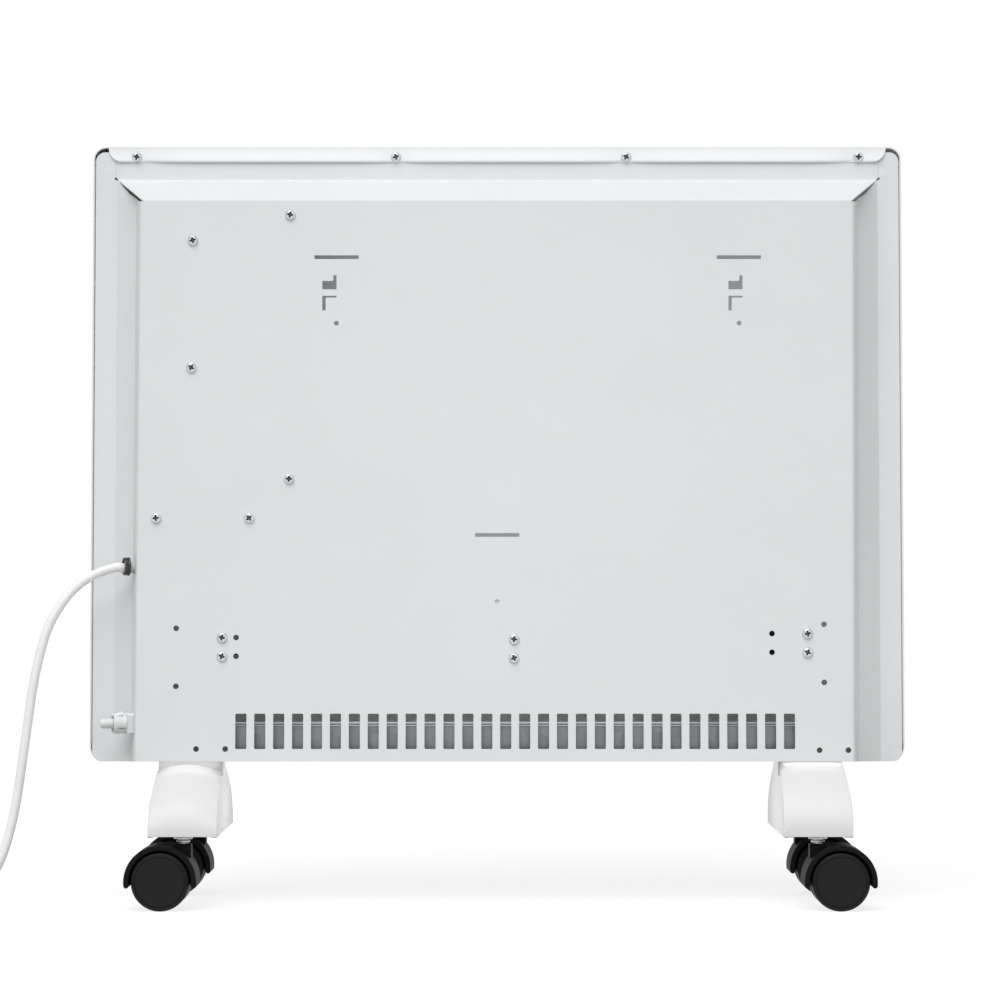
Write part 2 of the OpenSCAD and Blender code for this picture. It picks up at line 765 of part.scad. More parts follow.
module outlet_grille() {
    lap = grille_lap;
    inner_lap = lap / 2;
    y0 = front_y + sheet_t;
    pitch = outlet_h / blade_count;
    first_share = 0.2;
    bar_shares = [-0.25, 0, 0.25];
    rise = pitch / 2;
    color("gainsboro") difference() {
        union() {
            difference() {
                block([-outlet_w / 2 - lap, y0, outlet_z - outlet_h / 2 - lap],
                    [outlet_w / 2 + lap, y0 + blade_d, outlet_z + outlet_h / 2 + lap]);
                block([-outlet_w / 2, y0 - over, outlet_z - outlet_h / 2],
                    [outlet_w / 2, y0 + blade_d + over, outlet_z + outlet_h / 2]);
                block([-outlet_w / 2 - lap - over, y0 + blade_t,
                        outlet_z + outlet_h / 2 + blade_t],
                    [outlet_w / 2 + lap + over, y0 + blade_d + over, top_z]);
                block([-outlet_w / 2 - lap - over, y0 + blade_t, base_z],
                    [outlet_w / 2 + lap + over, y0 + blade_d + over,
                        outlet_z - outlet_h / 2 - blade_t]);
            }
            for (i = [0 : blade_count - 1]) {
                z = outlet_z - outlet_h / 2 + (i + first_share) * pitch;
                slab_x(-outlet_w / 2 - sheet_t, outlet_w / 2 + sheet_t)
                    polygon([[y0, z], [y0 + blade_d, z + rise],
                        [y0 + blade_d, z + rise + blade_t], [y0, z + blade_t]]);
            }
            for (k = bar_shares)
                block([k * outlet_w - blade_t / 2, y0 + blade_t, outlet_z - outlet_h / 2 - inner_lap],
                    [k * outlet_w + blade_t / 2, y0 + blade_d - blade_t,
                        outlet_z + outlet_h / 2 + blade_t]);
        }
    }
}

module bottom_plate() {
    half = panel_w / 2 - panel_r;
    path = plan_path();
    y0 = front_y + sheet_t + rim_gap;
    color("gainsboro") difference() {
        translate([0, 0, base_z + sheet_t]) linear_extrude(sheet_t)
            polygon([[half, y0], [half, flange_y], path[1], path[2], path[3], path[4], path[5],
                path[6], [-half, flange_y], [-half, y0]]);
        floor_slots(base_z - over, base_z + 3 * sheet_t);
        foot_screw_places() rod_z(0, 0, base_z, base_z + 3 * sheet_t, screw_r + seat_fit);
    }
}

module intake_baffle() {
    row = (vent_count - 1) * vent_pitch + vent_w + 2 * baffle_over;
    x0 = vent_shift_share * plate_x - row / 2;
    y1 = plate_y - baffle_back;
    z0 = housing_z;
    color("silver") slab_x(x0, x0 + row)
        polygon([[y1, z0], [y1, z0 + baffle_h], [y1 - hem, z0 + baffle_h],
            [y1 - hem, z0 + baffle_h - hem_leg], [y1 - hem + sheet_t, z0 + baffle_h - hem_leg],
            [y1 - hem + sheet_t, z0 + baffle_h - sheet_t], [y1 - sheet_t, z0 + baffle_h - sheet_t],
            [y1 - sheet_t, z0 + sheet_t], [y1 - baffle_foot, z0 + sheet_t],
            [y1 - baffle_foot, z0]]);
}

// Heating element and what carries it

function bracket_x(i) = bracket_shares[i][0] * plate_x;
function bracket_z(i) = on_plate(bracket_shares[i])[1];
// The tube runs level, at the middle bracket's height
tube_z = bracket_z(1);

module fin_block(x0, x1) {
    slab_x(x0, x1) translate([tube_y, tube_z]) {
        for (a = [fin_angle, 180 - fin_angle, 180 + fin_angle, -fin_angle])
            rotate(a) translate([0, -fin_t / 2]) square([fin_reach, fin_t]);
        circle(tube_r + fin_t);
    }
}

module heating_element() {
    color("darkgray") union() {
        rod_x(bracket_x(2) - tube_over, bracket_x(0) + tube_over, tube_y, tube_z, tube_r);
        rod_x(bracket_x(2) - tube_over - stud_l, bracket_x(0) + tube_over + stud_l,
            tube_y, tube_z, stud_r);
        fin_block(bracket_x(2) + fin_end_gap, bracket_x(1) - fin_end_gap);
        fin_block(bracket_x(1) + fin_end_gap, bracket_x(0) - fin_end_gap);
    }
}

// A bracket stands on the back plate and reaches forward to the tube
module element_bracket(i) {
    x = bracket_x(i);
    z = bracket_z(i);
    y1 = plate_y - sheet_t;
    y0 = tube_y - arm_w / 2;
    color("silver") difference() {
        union() {
            block([x - bracket_t / 2, y0, tube_z - arm_w / 2],
                [x + bracket_t / 2, y1, tube_z + arm_w / 2]);
            block([x - bracket_foot / 2, y1 - bracket_t, z - arm_w / 2],
                [x + bracket_foot / 2, y1, z + arm_w / 2]);
        }
        rod_x(x - bracket_t, x + bracket_t, tube_y, tube_z, insulator_r + seat_fit);
        for (k = [-0.5, 0.5])
            rod_y(x, y1 - case_screw_l, y1 + over, z + k * pair_gap, screw_r + seat_fit);
    }
}

module insulator(i) {
    x = bracket_x(i);
    color("ivory") difference() {
        union() {
            rod_x(x - insulator_l / 2, x + insulator_l / 2, tube_y, tube_z, insulator_r);
            rod_x(x + bracket_t / 2, x + bracket_t / 2 + insulator_t, tube_y, tube_z,
                insulator_r + insulator_t);
        }
        rod_x(x - insulator_l, x + insulator_l, tube_y, tube_z, tube_r + seat_fit);
    }
}

module thermal_cutout() {
    place = on_plate(cutout_share);
    y1 = plate_y - sheet_t;
    color("dimgray") union() {
        rod_y(place[0], y1 - cutout_d, y1 - bracket_t, place[1], cutout_r);
        block([place[0] - cutout_plate_w / 2, y1 - bracket_t, place[1] - cutout_plate_h / 2],
            [place[0] + cutout_plate_w / 2, y1, place[1] + cutout_plate_h / 2]);
        for (s = [-1, 1])
            block([place[0] + s * cutout_r / 2 - blade_terminal_t / 2, y1 - cutout_d - stud_l,
                    place[1] - stud_r],
                [place[0] + s * cutout_r / 2 + blade_terminal_t / 2, y1 - cutout_d, place[1] + stud_r]);
    }
}

// Control unit

module control_box() {
    color("gainsboro") difference() {
        union() {
            difference() {
                block([box_x0, box_y0, box_z0], [box_x1, box_y1, box_z1]);
                block([box_x0 + box_wall, box_y0 - over, box_z0 + box_wall],
                    [box_x1 - box_wall, box_y1 - box_wall, box_z1 - box_wall]);
            }
            for (s = case_screw_shares) {
                place = on_plate(s);
                rod_y(place[0], power_y, box_y1 - box_wall / 2, place[1], boss_r);
            }
        }
        for (s = case_screw_shares) {
            place = on_plate(s);
            rod_y(place[0], box_y1 - case_screw_l, box_y1 + over, place[1], screw_r + seat_fit);
        }
    }
}

// The board lies on the screw bosses and carries relays and a capacitor
module power_board() {
    m = box_wall + seat_fit;
    w = box_x1 - box_x0;
    h = box_z1 - box_z0;
    relay_shares = [[0.3, 0.75], [0.68, 0.75]];
    capacitor_share = [0.5, 0.33];
    front = power_y - board_t;
    color("darkolivegreen") union() {
        block([box_x0 + m, front, box_z0 + m], [box_x1 - m, power_y, box_z1 - m]);
        for (s = relay_shares)
            block([box_x0 + s[0] * w - relay_w / 2, front - relay_d,
                    box_z0 + s[1] * h - relay_h / 2],
                [box_x0 + s[0] * w + relay_w / 2, front, box_z0 + s[1] * h + relay_h / 2]);
        rod_y(box_x0 + capacitor_share[0] * w, front - relay_d, front,
            box_z0 + capacitor_share[1] * h, capacitor_r);
    }
}

module on_fascia() {
    translate([fascia_x, 0, fascia_z]) children();
}

function key_place(i) = [(i - (key_count + 1) / 2) * key_pitch, -key_row_share * bezel_h];

module control_fascia() {
    body_w = bezel_w - 2 * bezel_lap - 2 * seat_fit;
    body_h = bezel_h - 2 * bezel_lap - 2 * seat_fit;
    color("white") on_fascia() difference() {
        union() {
            slab_y(bezel_y, front_y) soft_rect(bezel_w, bezel_h, bezel_r);
            slab_y(front_y, face_y) soft_rect(body_w, body_h, bezel_r - seat_fit);
            for (sx = [-1, 1])
                for (sz = [-1, 1])
                    rod_y(sx * (body_w / 2 - post_inset), front_y, display_y,
                        sz * (body_h / 2 - post_inset), post_r);
        }
        translate([0, 0, display_row_share * bezel_h])
            slab_y(bezel_y - over, bezel_y + display_t)
                soft_rect(display_w, display_h, post_r);
        for (i = [1 : key_count])
            rod_y(key_place(i)[0], bezel_y - over, face_y + over, key_place(i)[1],
                key_r + key_room);
    }
}

module display_window() {
    color("black", 0.8) on_fascia() translate([0, 0, display_row_share * bezel_h])
        slab_y(bezel_y, bezel_y + display_t)
            soft_rect(display_w - 2 * seat_fit, display_h - 2 * seat_fit, post_r - seat_fit);
}

module display_board() {
    board_w = bezel_w - 2 * bezel_lap - 2 * seat_fit;
    board_h = bezel_h - 2 * bezel_lap - 2 * seat_fit;
    tact_y = display_y - tact_d;
    plunger_y = face_y + key_gap + key_lip_t + key_stem_l + key_travel + tact_gap;
    color("darkgreen") on_fascia() union() {
        slab_y(display_y, display_y + board_t) soft_rect(board_w, board_h, bezel_r);
        for (i = [1 : key_count]) {
            place = key_place(i);
            block([place[0] - tact_side / 2, tact_y, place[1] - tact_side / 2],
                [place[0] + tact_side / 2, display_y, place[1] + tact_side / 2]);
            rod_y(place[0], plunger_y, display_y, place[1], key_stem_r);
        }
    }
}

// A key is held behind the face by its flange and pushes a switch on the board
module key(i) {
    place = key_place(i);
    flange_front = face_y + key_gap;
    color("white") on_fascia() union() {
        rod_y(place[0], bezel_y - key_proud, flange_front, place[1], key_r);
        rod_y(place[0], flange_front, flange_front + key_lip_t, place[1], (key_r + key_lip));
        rod_y(place[0], flange_front, flange_front + key_lip_t + key_stem_l, place[1],
            key_stem_r);
    }
}

// Small inner parts

module terminal_block() {
    x1 = box_x1 - box_margin;
    z1 = box_z0 - box_margin;
    y1 = plate_y - sheet_t;
    color("ivory") difference() {
        block([x1 - 3 * way_w, y1 - way_d, z1 - way_h], [x1, y1, z1]);
        for (k = [0.5, 1.5, 2.5])
            rod_y(x1 - k * way_w, y1 - way_d - over, y1 - way_d + well_d, z1 - way_h / 4, well_r);
    }
}

module tip_switch() {
    x = foot_right - tip_shift;
    color("black") union() {
        block([x - tip_half, -tip_half, housing_z],
            [x + tip_half, tip_half, housing_z + 2 * tip_half]);
        block([x - tip_foot_half, -tip_half, housing_z],
            [x + tip_foot_half, tip_half, housing_z + sheet_t]);
    }
}

// A wire as straight runs with rounded bends
function turned(p, q, t) = p + t * unit(q - p);
function bend_at(a, b, c, t) = let (p = turned(b, a, t), q = turned(b, c, t))
    [for (k = [0 : wire_turn_steps]) let (u = k / wire_turn_steps)
        (1 - u) * ((1 - u) * p + u * b) + u * ((1 - u) * b + u * q)];
function wire_path(pts, t) = let (n = len(pts)) concat([pts[0]],
    [for (i = [1 : n - 2]) each bend_at(pts[i - 1], pts[i], pts[i + 1], t)], [pts[n - 1]]);

module wire(pts) {
    swept_tube(wire_path(pts, wire_turn), wire_r, wire_sides, [0, 1, 0]);
}

module internal_wiring() {
    block_x = box_x1 - box_margin;
    block_z = box_z0 - box_margin;
    front = plate_y - sheet_t - way_d - wire_r;
    deep = front - way_d;
    box_low = box_z0 - wire_r;
    gland_a = wall_point(gland_y, gland_z, -inner_reach);
    gland_b = wall_point(gland_y, gland_z, -inner_reach - wire_lead);
    sensor_a = wall_point(sensor_y, sensor_z, -inner_reach);
    sensor_b = wall_point(sensor_y, sensor_z, -inner_reach - wire_lead);
    stud = [bracket_x(0) + tube_over + stud_l, tube_y, tube_z];
    stud_b = stud + [wire_lead, 0, 0];
    supply_x = block_x - way_w / 2;
    feed_x = supply_x - way_w;
    color("firebrick") union() {
        wire([gland_a, gland_b, [supply_x, front - wire_r, gland_z],
            [supply_x, front, block_z - entry_share * way_h]]);
        wire([[feed_x, front, block_z - way_h / 2], [feed_x, deep, block_z],
            [feed_x, deep, box_low]]);
        wire([stud, stud_b, stud_b + [0, 0, way_h], [stud_b[0], deep, box_low]]);
        wire([sensor_a, sensor_b, [sensor_b[0], sensor_b[1], sensor_z + way_h],
            [sensor_b[0] - way_w, deep, box_low]]);
    }
}

// Fittings on the steep side wall

module sensor_holder() {
    color("white") on_wall(sensor_y, sensor_z) difference() {
        union() {
            block([0, -sensor_base / 2, -sensor_base / 2],
                [sensor_base_l, sensor_base / 2, sensor_base / 2]);
            rod_x(sensor_base_l / 2, sensor_base_l + barrel_l, 0, 0, barrel_r);
            rod_x(-inner_reach / 2, sensor_base_l, 0, 0, barrel_r - barrel_t);
        }
        rod_x(sensor_base_l, sensor_base_l + barrel_l + over, 0, 0, barrel_r - barrel_t);
        rod_x(-inner_reach, sensor_base_l + over, 0, 0, probe_r + seat_fit);
    }
}

module sensor_probe() {
    tip = sensor_base_l + barrel_l + probe_out;
    color("white") on_wall(sensor_y, sensor_z) union() {
        rod_x(-inner_reach, tip - tip_l, 0, 0, probe_r);
        rod_x(tip - tip_l, tip, 0, 0, probe_r - tip_step);
    }
}

module cable_gland() {
    color("black") on_wall(gland_y, gland_z) difference() {
        union() {
            rod_x(0, gland_flange_t, 0, 0, gland_r);
            rod_x(0, gland_l, 0, 0, gland_r - gland_rim);
            rod_x(-inner_reach, gland_flange_t, 0, 0, gland_snap_r);
        }
        rod_x(-inner_reach + sheet_t, gland_l + over, 0, 0, gland_bore_r);
    }
}

// Lead, coil, tie and plug

// A closed tube of flat sides along the points; up is a direction that it never follows
function side_way(d, up) = unit(cross(up, d));
function flat_way(pts, i) = let (n = len(pts), a = pts[max(0, i - 1)], b = pts[min(n - 1, i + 1)])
    unit(b - a);

module swept_tube(pts, r, sides, up) {
    n = len(pts);
    rings = [for (i = [0 : n - 1]) let (d = flat_way(pts, i), u = side_way(d, up), v = cross(d, u))
        for (k = [0 : sides - 1]) let (a = 360 * (k + 0.5) / sides)
            pts[i] + r * (cos(a) * u + sin(a) * v)];
    skin = [for (i = [0 : n - 2]) for (k = [0 : sides - 1])
        let (a = i * sides + k, b = i * sides + (k + 1) % sides)
        each [[a, b, b + sides], [a, b + sides, a + sides]]];
    first = [for (k = [1 : sides - 2]) [0, k + 1, k]];
    last = [for (k = [1 : sides - 2]) [(n - 1) * sides, (n - 1) * sides + k, (n - 1) * sides + k + 1]];
    polyhedron(points = rings, faces = [for (f = concat(skin, first, last)) [f[2], f[1], f[0]]],
        convexity = 10);
}

// A smooth curve through the points
function curve_at(p, i, t) = let (n = len(p), a = p[max(0, i - 1)], b = p[i], c = p[i + 1],
    d = p[min(n - 1, i + 2)])
    0.5 * (2 * b + (c - a) * t + (2 * a - 5 * b + 4 * c - d) * t * t
        + (3 * b - a - 3 * c + d) * t * t * t);
function curve(p, steps) = [for (i = [0 : len(p) - 2]) for (k = [0 : steps - 1])
    curve_at(p, i, k / steps), p[len(p) - 1]];

function lead_path() = concat(
    [wall_point(gland_y, gland_z, sheet_t - inner_reach)],
    curve(concat([wall_point(gland_y, gland_z, gland_l),
        wall_point(gland_y, gland_z, gland_l + cord_d)], lead_points), lead_steps));

// The coil spirals in, climbs one layer where it reverses, and spirals out
function coil_radius(t) = let (mid = coil_total / 2) coil_r - coil_pitch * (mid - abs(t - mid));
function coil_at(t) = let (r = coil_radius(t), a = 90 - 360 * t)
    [coil_centre[0] + r * cos(a), coil_centre[1] + r * sin(a),
        coil_low + coil_pitch * smooth(2 * (t - coil_turns))];
coil_count = round(coil_total * coil_rings);
function coil_points() = [for (i = [0 : coil_count]) coil_at(i * coil_total / coil_count)];
function tail_points() = [for (i = [1 : tail_steps])
    [plug_x, coil_centre[1] - tail_l * i / tail_steps,
        coil_high + (plug_r - coil_high) * smooth(1.3 * i / tail_steps)]];
function coil_path() = let (c = coil_points()) concat([lead_end], [for (i = [1 : len(c) - 1]) c[i]],
    tail_points());

// The least gap of the coil to itself, for points at least a third of a turn apart
function least(values) = min(values);
coil_check = coil_points();
coil_gap = least([for (i = [0 : coil_count]) for (j = [i + coil_rings / 3 : coil_count])
    norm(coil_check[i] - coil_check[j])]) - cord_d;
echo(coil_gap = coil_gap);

module cord_lead() {
    color("white") swept_tube(lead_path(), cord_r, lead_sides, [0, 0, 1]);
}

module cord_coil() {
    color("white") swept_tube(coil_path(), cord_r, coil_sides, [0, 0, 1]);
}

module coil_tie() {
    inner = coil_radius(coil_total / 2) - cord_r;
    outer = coil_r + cord_r;
    low = coil_low - cord_r;
    high = coil_high + cord_r;
    room = coil_room / 2;
    color("dimgray") translate([coil_centre[0], coil_centre[1], 0]) difference() {
        block([-outer - room - tie_t, -tie_w / 2, low - tie_t],
            [-inner + room + tie_t, tie_w / 2, high + room + tie_t]);
        block([-outer - room, -tie_w, low], [-inner + room, tie_w, high + room]);
    }
}

module plug_body() {
    end = relief_l + plug_l;
    edge = end - cap_l;
    color("white") translate([plug_x, plug_y, plug_r]) rotate([90, 0, 0])
        rotate_extrude() polygon([[0, 0], [cord_r + relief_wall, 0],
            [cord_r + relief_root, relief_l], [plug_r - cap_step, edge - cap_edge],
            [plug_r, edge], [plug_r, end], [0, end]]);
}

module plug_pins() {
    end_y = plug_y - relief_l - plug_l;
    color("silver") for (s = [-0.5, 0.5])
        rod_y(plug_x + s * plug_pin_gap, end_y - plug_pin_l, end_y, plug_r, plug_pin_r);
}

// Screws: a pan head on the outer face, a shank through the sheets

// Outline of a pan head, as shares of its radius and of its height
head_shares = [[1, 0.35], [0.85, 0.75], [0.5, 1], [0, 1]];

module pan_screw(l) {
    rotate_extrude() polygon([[0, -l], [screw_r, -l], [screw_r, 0], [head_r, 0],
        for (s = head_shares) [s[0] * head_r, s[1] * head_h]]);
}

module case_screws() {
    color("lightgray") {
        for (s = case_screw_shares) {
            place = on_plate(s);
            translate([place[0], plate_y, place[1]]) rotate([-90, 0, 0]) pan_screw(case_screw_l);
        }
        for (s = bracket_shares)
            for (k = [-0.5, 0.5]) {
                place = on_plate(s) + [0, k * pair_gap];
                translate([place[0], plate_y, place[1]]) rotate([-90, 0, 0])
                    pan_screw(sheet_screw_l);
            }
    }
}

module top_screws() {
    color("lightgray") for (s = top_screw_shares)
        translate([s * panel_w / 2, flange_y + sheet_t, top_z - strip_h + head_r])
            rotate([-90, 0, 0]) pan_screw(sheet_screw_l);
}

module foot_screws() {
    color("lightgray") foot_screw_places()
        translate([0, 0, base_z - deck_t]) rotate([180, 0, 0]) pan_screw(deck_t + sheet_screw_l);
}

// Feet

// Side view of a foot: half an ellipse on its base
function arch(half, h) = [for (i = [0 : foot_steps]) let (a = 180 * i / foot_steps)
    [half * cos(a), castor_h + h * sin(a)]];

// End view of a foot: drafted sides under a crowned back
function end_view(half, h, draft, crown) = let (top = half - draft) concat(
    [[-half, castor_h - over], [half, castor_h - over]],
    [for (i = [0 : crown_steps]) let (s = 1 - 2 * i / crown_steps)
        [s * top, castor_h + h - crown * s * s]]);

module foot_form(half_l, half_w, h) {
    intersection() {
        slab_x(-half_w, half_w) polygon(arch(half_l, h + arch_over));
        slab_y(-half_l, half_l) polygon(end_view(half_w, h, foot_draft, foot_crown));
    }
}

module foot(x) {
    half_l = foot_l / 2;
    half_w = foot_w / 2;
    seat_w = foot_w - 2 * seat_inset;
    color("white") translate([x, 0, 0]) difference() {
        union() {
            difference() {
                foot_form(half_l, half_w, foot_h);
                translate([0, 0, -over]) foot_form(half_l - foot_wall, half_w - foot_wall,
                    foot_h - foot_wall + over);
            }
            block([-seat_w / 2, -seat_l / 2, base_z - seat_wall_h],
                [seat_w / 2, seat_l / 2, base_z]);
            for (k = [-0.5, 0.5]) intersection() {
                union() {
                    rod_z(0, k * castor_gap, castor_h, base_z, foot_boss_r);
                    block([-half_w + foot_wall / 2, k * castor_gap - foot_wall / 2, castor_h],
                        [half_w - foot_wall / 2, k * castor_gap + foot_wall / 2, base_z]);
                }
                foot_form(half_l, half_w, foot_h);
            }
        }
        block([-seat_w / 2 + foot_wall, -seat_l / 2 + foot_wall, castor_h],
            [seat_w / 2 - foot_wall, seat_l / 2 - foot_wall, base_z - deck_t]);
        for (k = [-0.5, 0.5]) {
            rod_z(0, k * castor_gap, castor_h - over, castor_h + stem_l + over,
                stem_r + seat_fit);
            rod_z(0, k * foot_screw_gap, castor_h, base_z + over, screw_r + screw_room);
        }
    }
}

// Castors

// Each castor trails outward; its place is [x, y, side]
function castor_place(i) = [i < 2 ? foot_right : -foot_left,
    (i % 2 == 0 ? 0.5 : -0.5) * castor_gap, i < 2 ? 1 : -1];

module at_castor(i) {
    place = castor_place(i);
    translate([place[0], place[1], 0]) scale([place[2], 1, 1]) children();
}

module castor_stem(i) {
    place = castor_place(i);
    color("silver") union() {
        rod_z(place[0], place[1], castor_h, castor_h + stem_l, stem_r);
        rod_z(place[0], place[1], castor_h - collar_t, castor_h, collar_r);
        rod_z(place[0], place[1], pin_z, castor_h, pin_r);
    }
}

module castor_hood(i) {
    place = castor_place(i);
    side = place[2];
    low = column_top - column_w;
    drop = hood_r0 * sin(hood_low_angle);
    color("black") translate([place[0], place[1], 0]) difference() {
        union() {
            difference() {
                rod_y(side * trail, -hood_w / 2, hood_w / 2, wheel_r, hood_r1);
                rod_y(side * trail, -hood_w / 2 - over, hood_w / 2 + over, wheel_r, hood_r0);
                block([side * trail - 2 * hood_r1, -hood_w, -hood_r1],
                    [side * trail + 2 * hood_r1, hood_w, wheel_r - drop]);
            }
            difference() {
                rod_y(side * trail, -web_t / 2, web_t / 2, wheel_r, hood_r0 + hood_t / 2);
                block([side * trail - 2 * hood_r1, -hood_w, -hood_r1],
                    [side * trail + 2 * hood_r1, hood_w, wheel_r - drop]);
            }
            rod_y(side * trail, -web_t / 2, web_t / 2, wheel_r, hub_r);
            difference() {
                block([-column_w / 2, -column_w / 2, low], [column_w / 2, column_w / 2, column_top]);
                for (s = [-1, 1])
                    rod_y(side * trail, s > 0 ? web_t / 2 : -hood_w, s > 0 ? hood_w : -web_t / 2,
                        wheel_r, hood_r0);
            }
        }
        rod_z(0, 0, pin_z - seat_fit, column_top + over, pin_r + run_fit);
        rod_y(side * trail, -web_t, web_t, wheel_r, axle_r + seat_fit);
    }
}

module castor_axle(i) {
    place = castor_place(i);
    color("silver") translate([place[0], place[1], 0])
        rod_y(place[2] * trail, -axle_half, axle_half, wheel_r, axle_r);
}

// A wheel has a rounded tread, a flat disc outside and a blind bore inside
module castor_wheel(i, way) {
    place = castor_place(i);
    color("black") translate([place[0] + place[2] * trail, place[1], wheel_r])
        rotate([way > 0 ? -90 : 90, 0, 0]) translate([0, 0, wheel_y0]) difference() {
            rotate_extrude($fn = 96) difference() {
                union() {
                    square([wheel_r - tread_r, wheel_w]);
                    translate([0, tread_r]) square([wheel_r, wheel_w - 2 * tread_r]);
                    for (z = [tread_r, wheel_w - tread_r])
                        translate([wheel_r - tread_r, z]) circle(tread_r);
                }
                translate([ring_r, wheel_w - groove]) square([groove, groove + over]);
            }
            translate([0, 0, -over])
                cylinder(h = over + axle_grip + axle_end_gap, r = axle_r + run_fit);
        }
}

front_panel();
outlet_grille();
rear_housing();
bottom_plate();
intake_baffle();
heating_element();
for (i = [0 : 2]) {
    element_bracket(i);
    insulator(i);
}
thermal_cutout();
control_box();
power_board();
control_fascia();
display_window();
display_board();
for (i = [1 : key_count])
    key(i);
terminal_block();
tip_switch();
internal_wiring();
sensor_holder();
sensor_probe();
cable_gland();
cord_lead();
cord_coil();
coil_tie();
plug_body();
plug_pins();
case_screws();
top_screws();
foot_screws();
foot(foot_right);  // foot_right_shell
foot(-foot_left);  // foot_left_shell
for (i = [0 : 3]) {
    castor_stem(i);
    castor_hood(i);
    castor_axle(i);
    castor_wheel(i, 1);
    castor_wheel(i, -1);
}
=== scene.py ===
import math

import bmesh
import bpy
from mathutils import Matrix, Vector
from mathutils.geometry import delaunay_2d_cdt


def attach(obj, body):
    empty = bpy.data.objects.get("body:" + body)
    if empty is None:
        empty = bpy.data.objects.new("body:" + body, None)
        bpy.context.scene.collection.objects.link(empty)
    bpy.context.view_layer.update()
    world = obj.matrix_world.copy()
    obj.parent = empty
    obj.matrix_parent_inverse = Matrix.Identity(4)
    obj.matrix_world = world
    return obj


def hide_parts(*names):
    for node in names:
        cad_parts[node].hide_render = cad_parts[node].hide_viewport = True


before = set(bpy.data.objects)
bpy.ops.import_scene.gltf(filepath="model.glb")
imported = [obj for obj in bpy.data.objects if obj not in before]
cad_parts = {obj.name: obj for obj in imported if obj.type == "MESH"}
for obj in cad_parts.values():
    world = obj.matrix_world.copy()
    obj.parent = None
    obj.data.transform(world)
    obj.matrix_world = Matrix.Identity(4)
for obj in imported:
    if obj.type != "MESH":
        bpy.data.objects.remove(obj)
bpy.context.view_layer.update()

MM = 0.001

# Casing, in millimetres, as in the part's source
PANEL_X = 287.5
BASE_Z = 99.0
TOP_Z = 534.0
FRONT_Y = -40.0
FLANGE_Y = 3.0
STEP_Y = 17.0
PLATE_Y = 40.0
HOUSING_Z = 101.0
HOUSING_TOP = 532.55
SLOPE_Z = 510.1
PLATE_TOP = 492.05
PLATE_H = PLATE_TOP - HOUSING_Z
PLATE_HALF = 250.0
FLANGE_X = 285.6
SLOPE_X = 270.5
STEP_X = 255.2
PLATE_X = 250.3
CORNER = 9.0
SHEET = 1.0
BASE_SHEET = 0.55

# Bends and edges of the pressing, as they look in the photograph
BEND = 1.2
PLATE_BEND = 0.9
SIDE_BEND_R = 3.0
SUPPORT = 0.3
LEAN = 1.6
HOUSING_LOW = 98.3
PLATE_LOW = 100.1
RIM_Y = 1.9
FRONT_ROLL = 2.5
FLANGE_TOP = 530.0
FLANGE_R = 6.5
FLANGE_FOOT_R = 6.4

# Top strip and its screws
STRIP_H = 11.2
STRIP_END = 276.5
STRIP_R = 10.4
STRIP_SHEET = 0.9
SCREW_Z = TOP_Z - STRIP_H + 3.7
TOP_SCREWS = [share * PANEL_X for share in (0.892, 0.251, -0.319, -0.894)]

# Intake slots: middle of the row, number, pitch and size
SLOTS_X = -12.5
SLOT_COUNT = 30
SLOT_PITCH = 13.15
SLOT_W = 7.75
SLOT_H = 24.5
SLOT_ROW = (SLOT_COUNT - 1) * SLOT_PITCH
SLOT_Z = HOUSING_Z + 7.8 + SLOT_H / 2

# Air slots of the casing's floor: number, pitch, and (middle y, length, width, corner)
AIR_COUNT = 16
AIR_PITCH = 22.0
AIR_SLOT = (-20.0, 14.0, 9.0, 4.0)

# Openings of the front: middle x, middle z, width, height
GRILLE = (0.0, 506.0, 470.0, 24.0)
FASCIA = (195.0, 425.55, 64.0, 54.0)

# Feet
FEET = {"right": 216.0, "left": -220.5}
FOOT_SCREW_Y = 18.0
FOOT_L = 75.0
FOOT_H = 49.0
FOOT_W = 23.5
FOOT_LOW = 50.0
FOOT_LIMIT = 99.4
FOOT_WALL = 2.5
FOOT_EDGE = 0.8
ARCH_OVER = 1.7
CROWNS = {"right": (0.0, 5.2), "left": (2.0, 0.6)}
DECK_TOP = 99.8
DECK_LOW = 95.0
DECK_EDGE = 89.5

# Castors
CASTOR_Y = 60.0
TRAIL = 14.5
WHEEL_R = 20.0
WHEEL_IN = 3.6
WHEEL_OUT = 18.0
HOOD_IN = 21.4
HOOD_OUT = 25.0
HOOD_HALF = 17.4
WEB_HALF = 3.0
BOSS_HALF = 3.35
LOW_ANGLE = -6.0
STEM_BORE = 3.58
STEM_TOP = 45.3

# Screws
HEAD_R = 3.7
HEAD_H = 2.5
CAP_R = 2.5
SHANK_R = 1.9
SPINS = [0.2, 1.3, 0.5, 0.1, 1.45, 0.9, 0.35, 0.2, 1.2, 0.15, 0.4, 1.4]

# Bush and sensor on the steep step
GLAND = (253.5, 28.5, 234.5)
SENSOR = (253.85, 27.35, 126.0)
WALL_ANGLE = math.atan2(7.0, 23.0)
COLLAR_R = 6.9
COLLAR_BORE = 5.6
COLLAR_SIDES = 64
COLLAR_HEIGHTS = (5.9, 7.2, 8.6, 10.4, 12.0, 13.6, 14.7, 15.0)
COLLAR_SLOTS = (58, 59, 51)

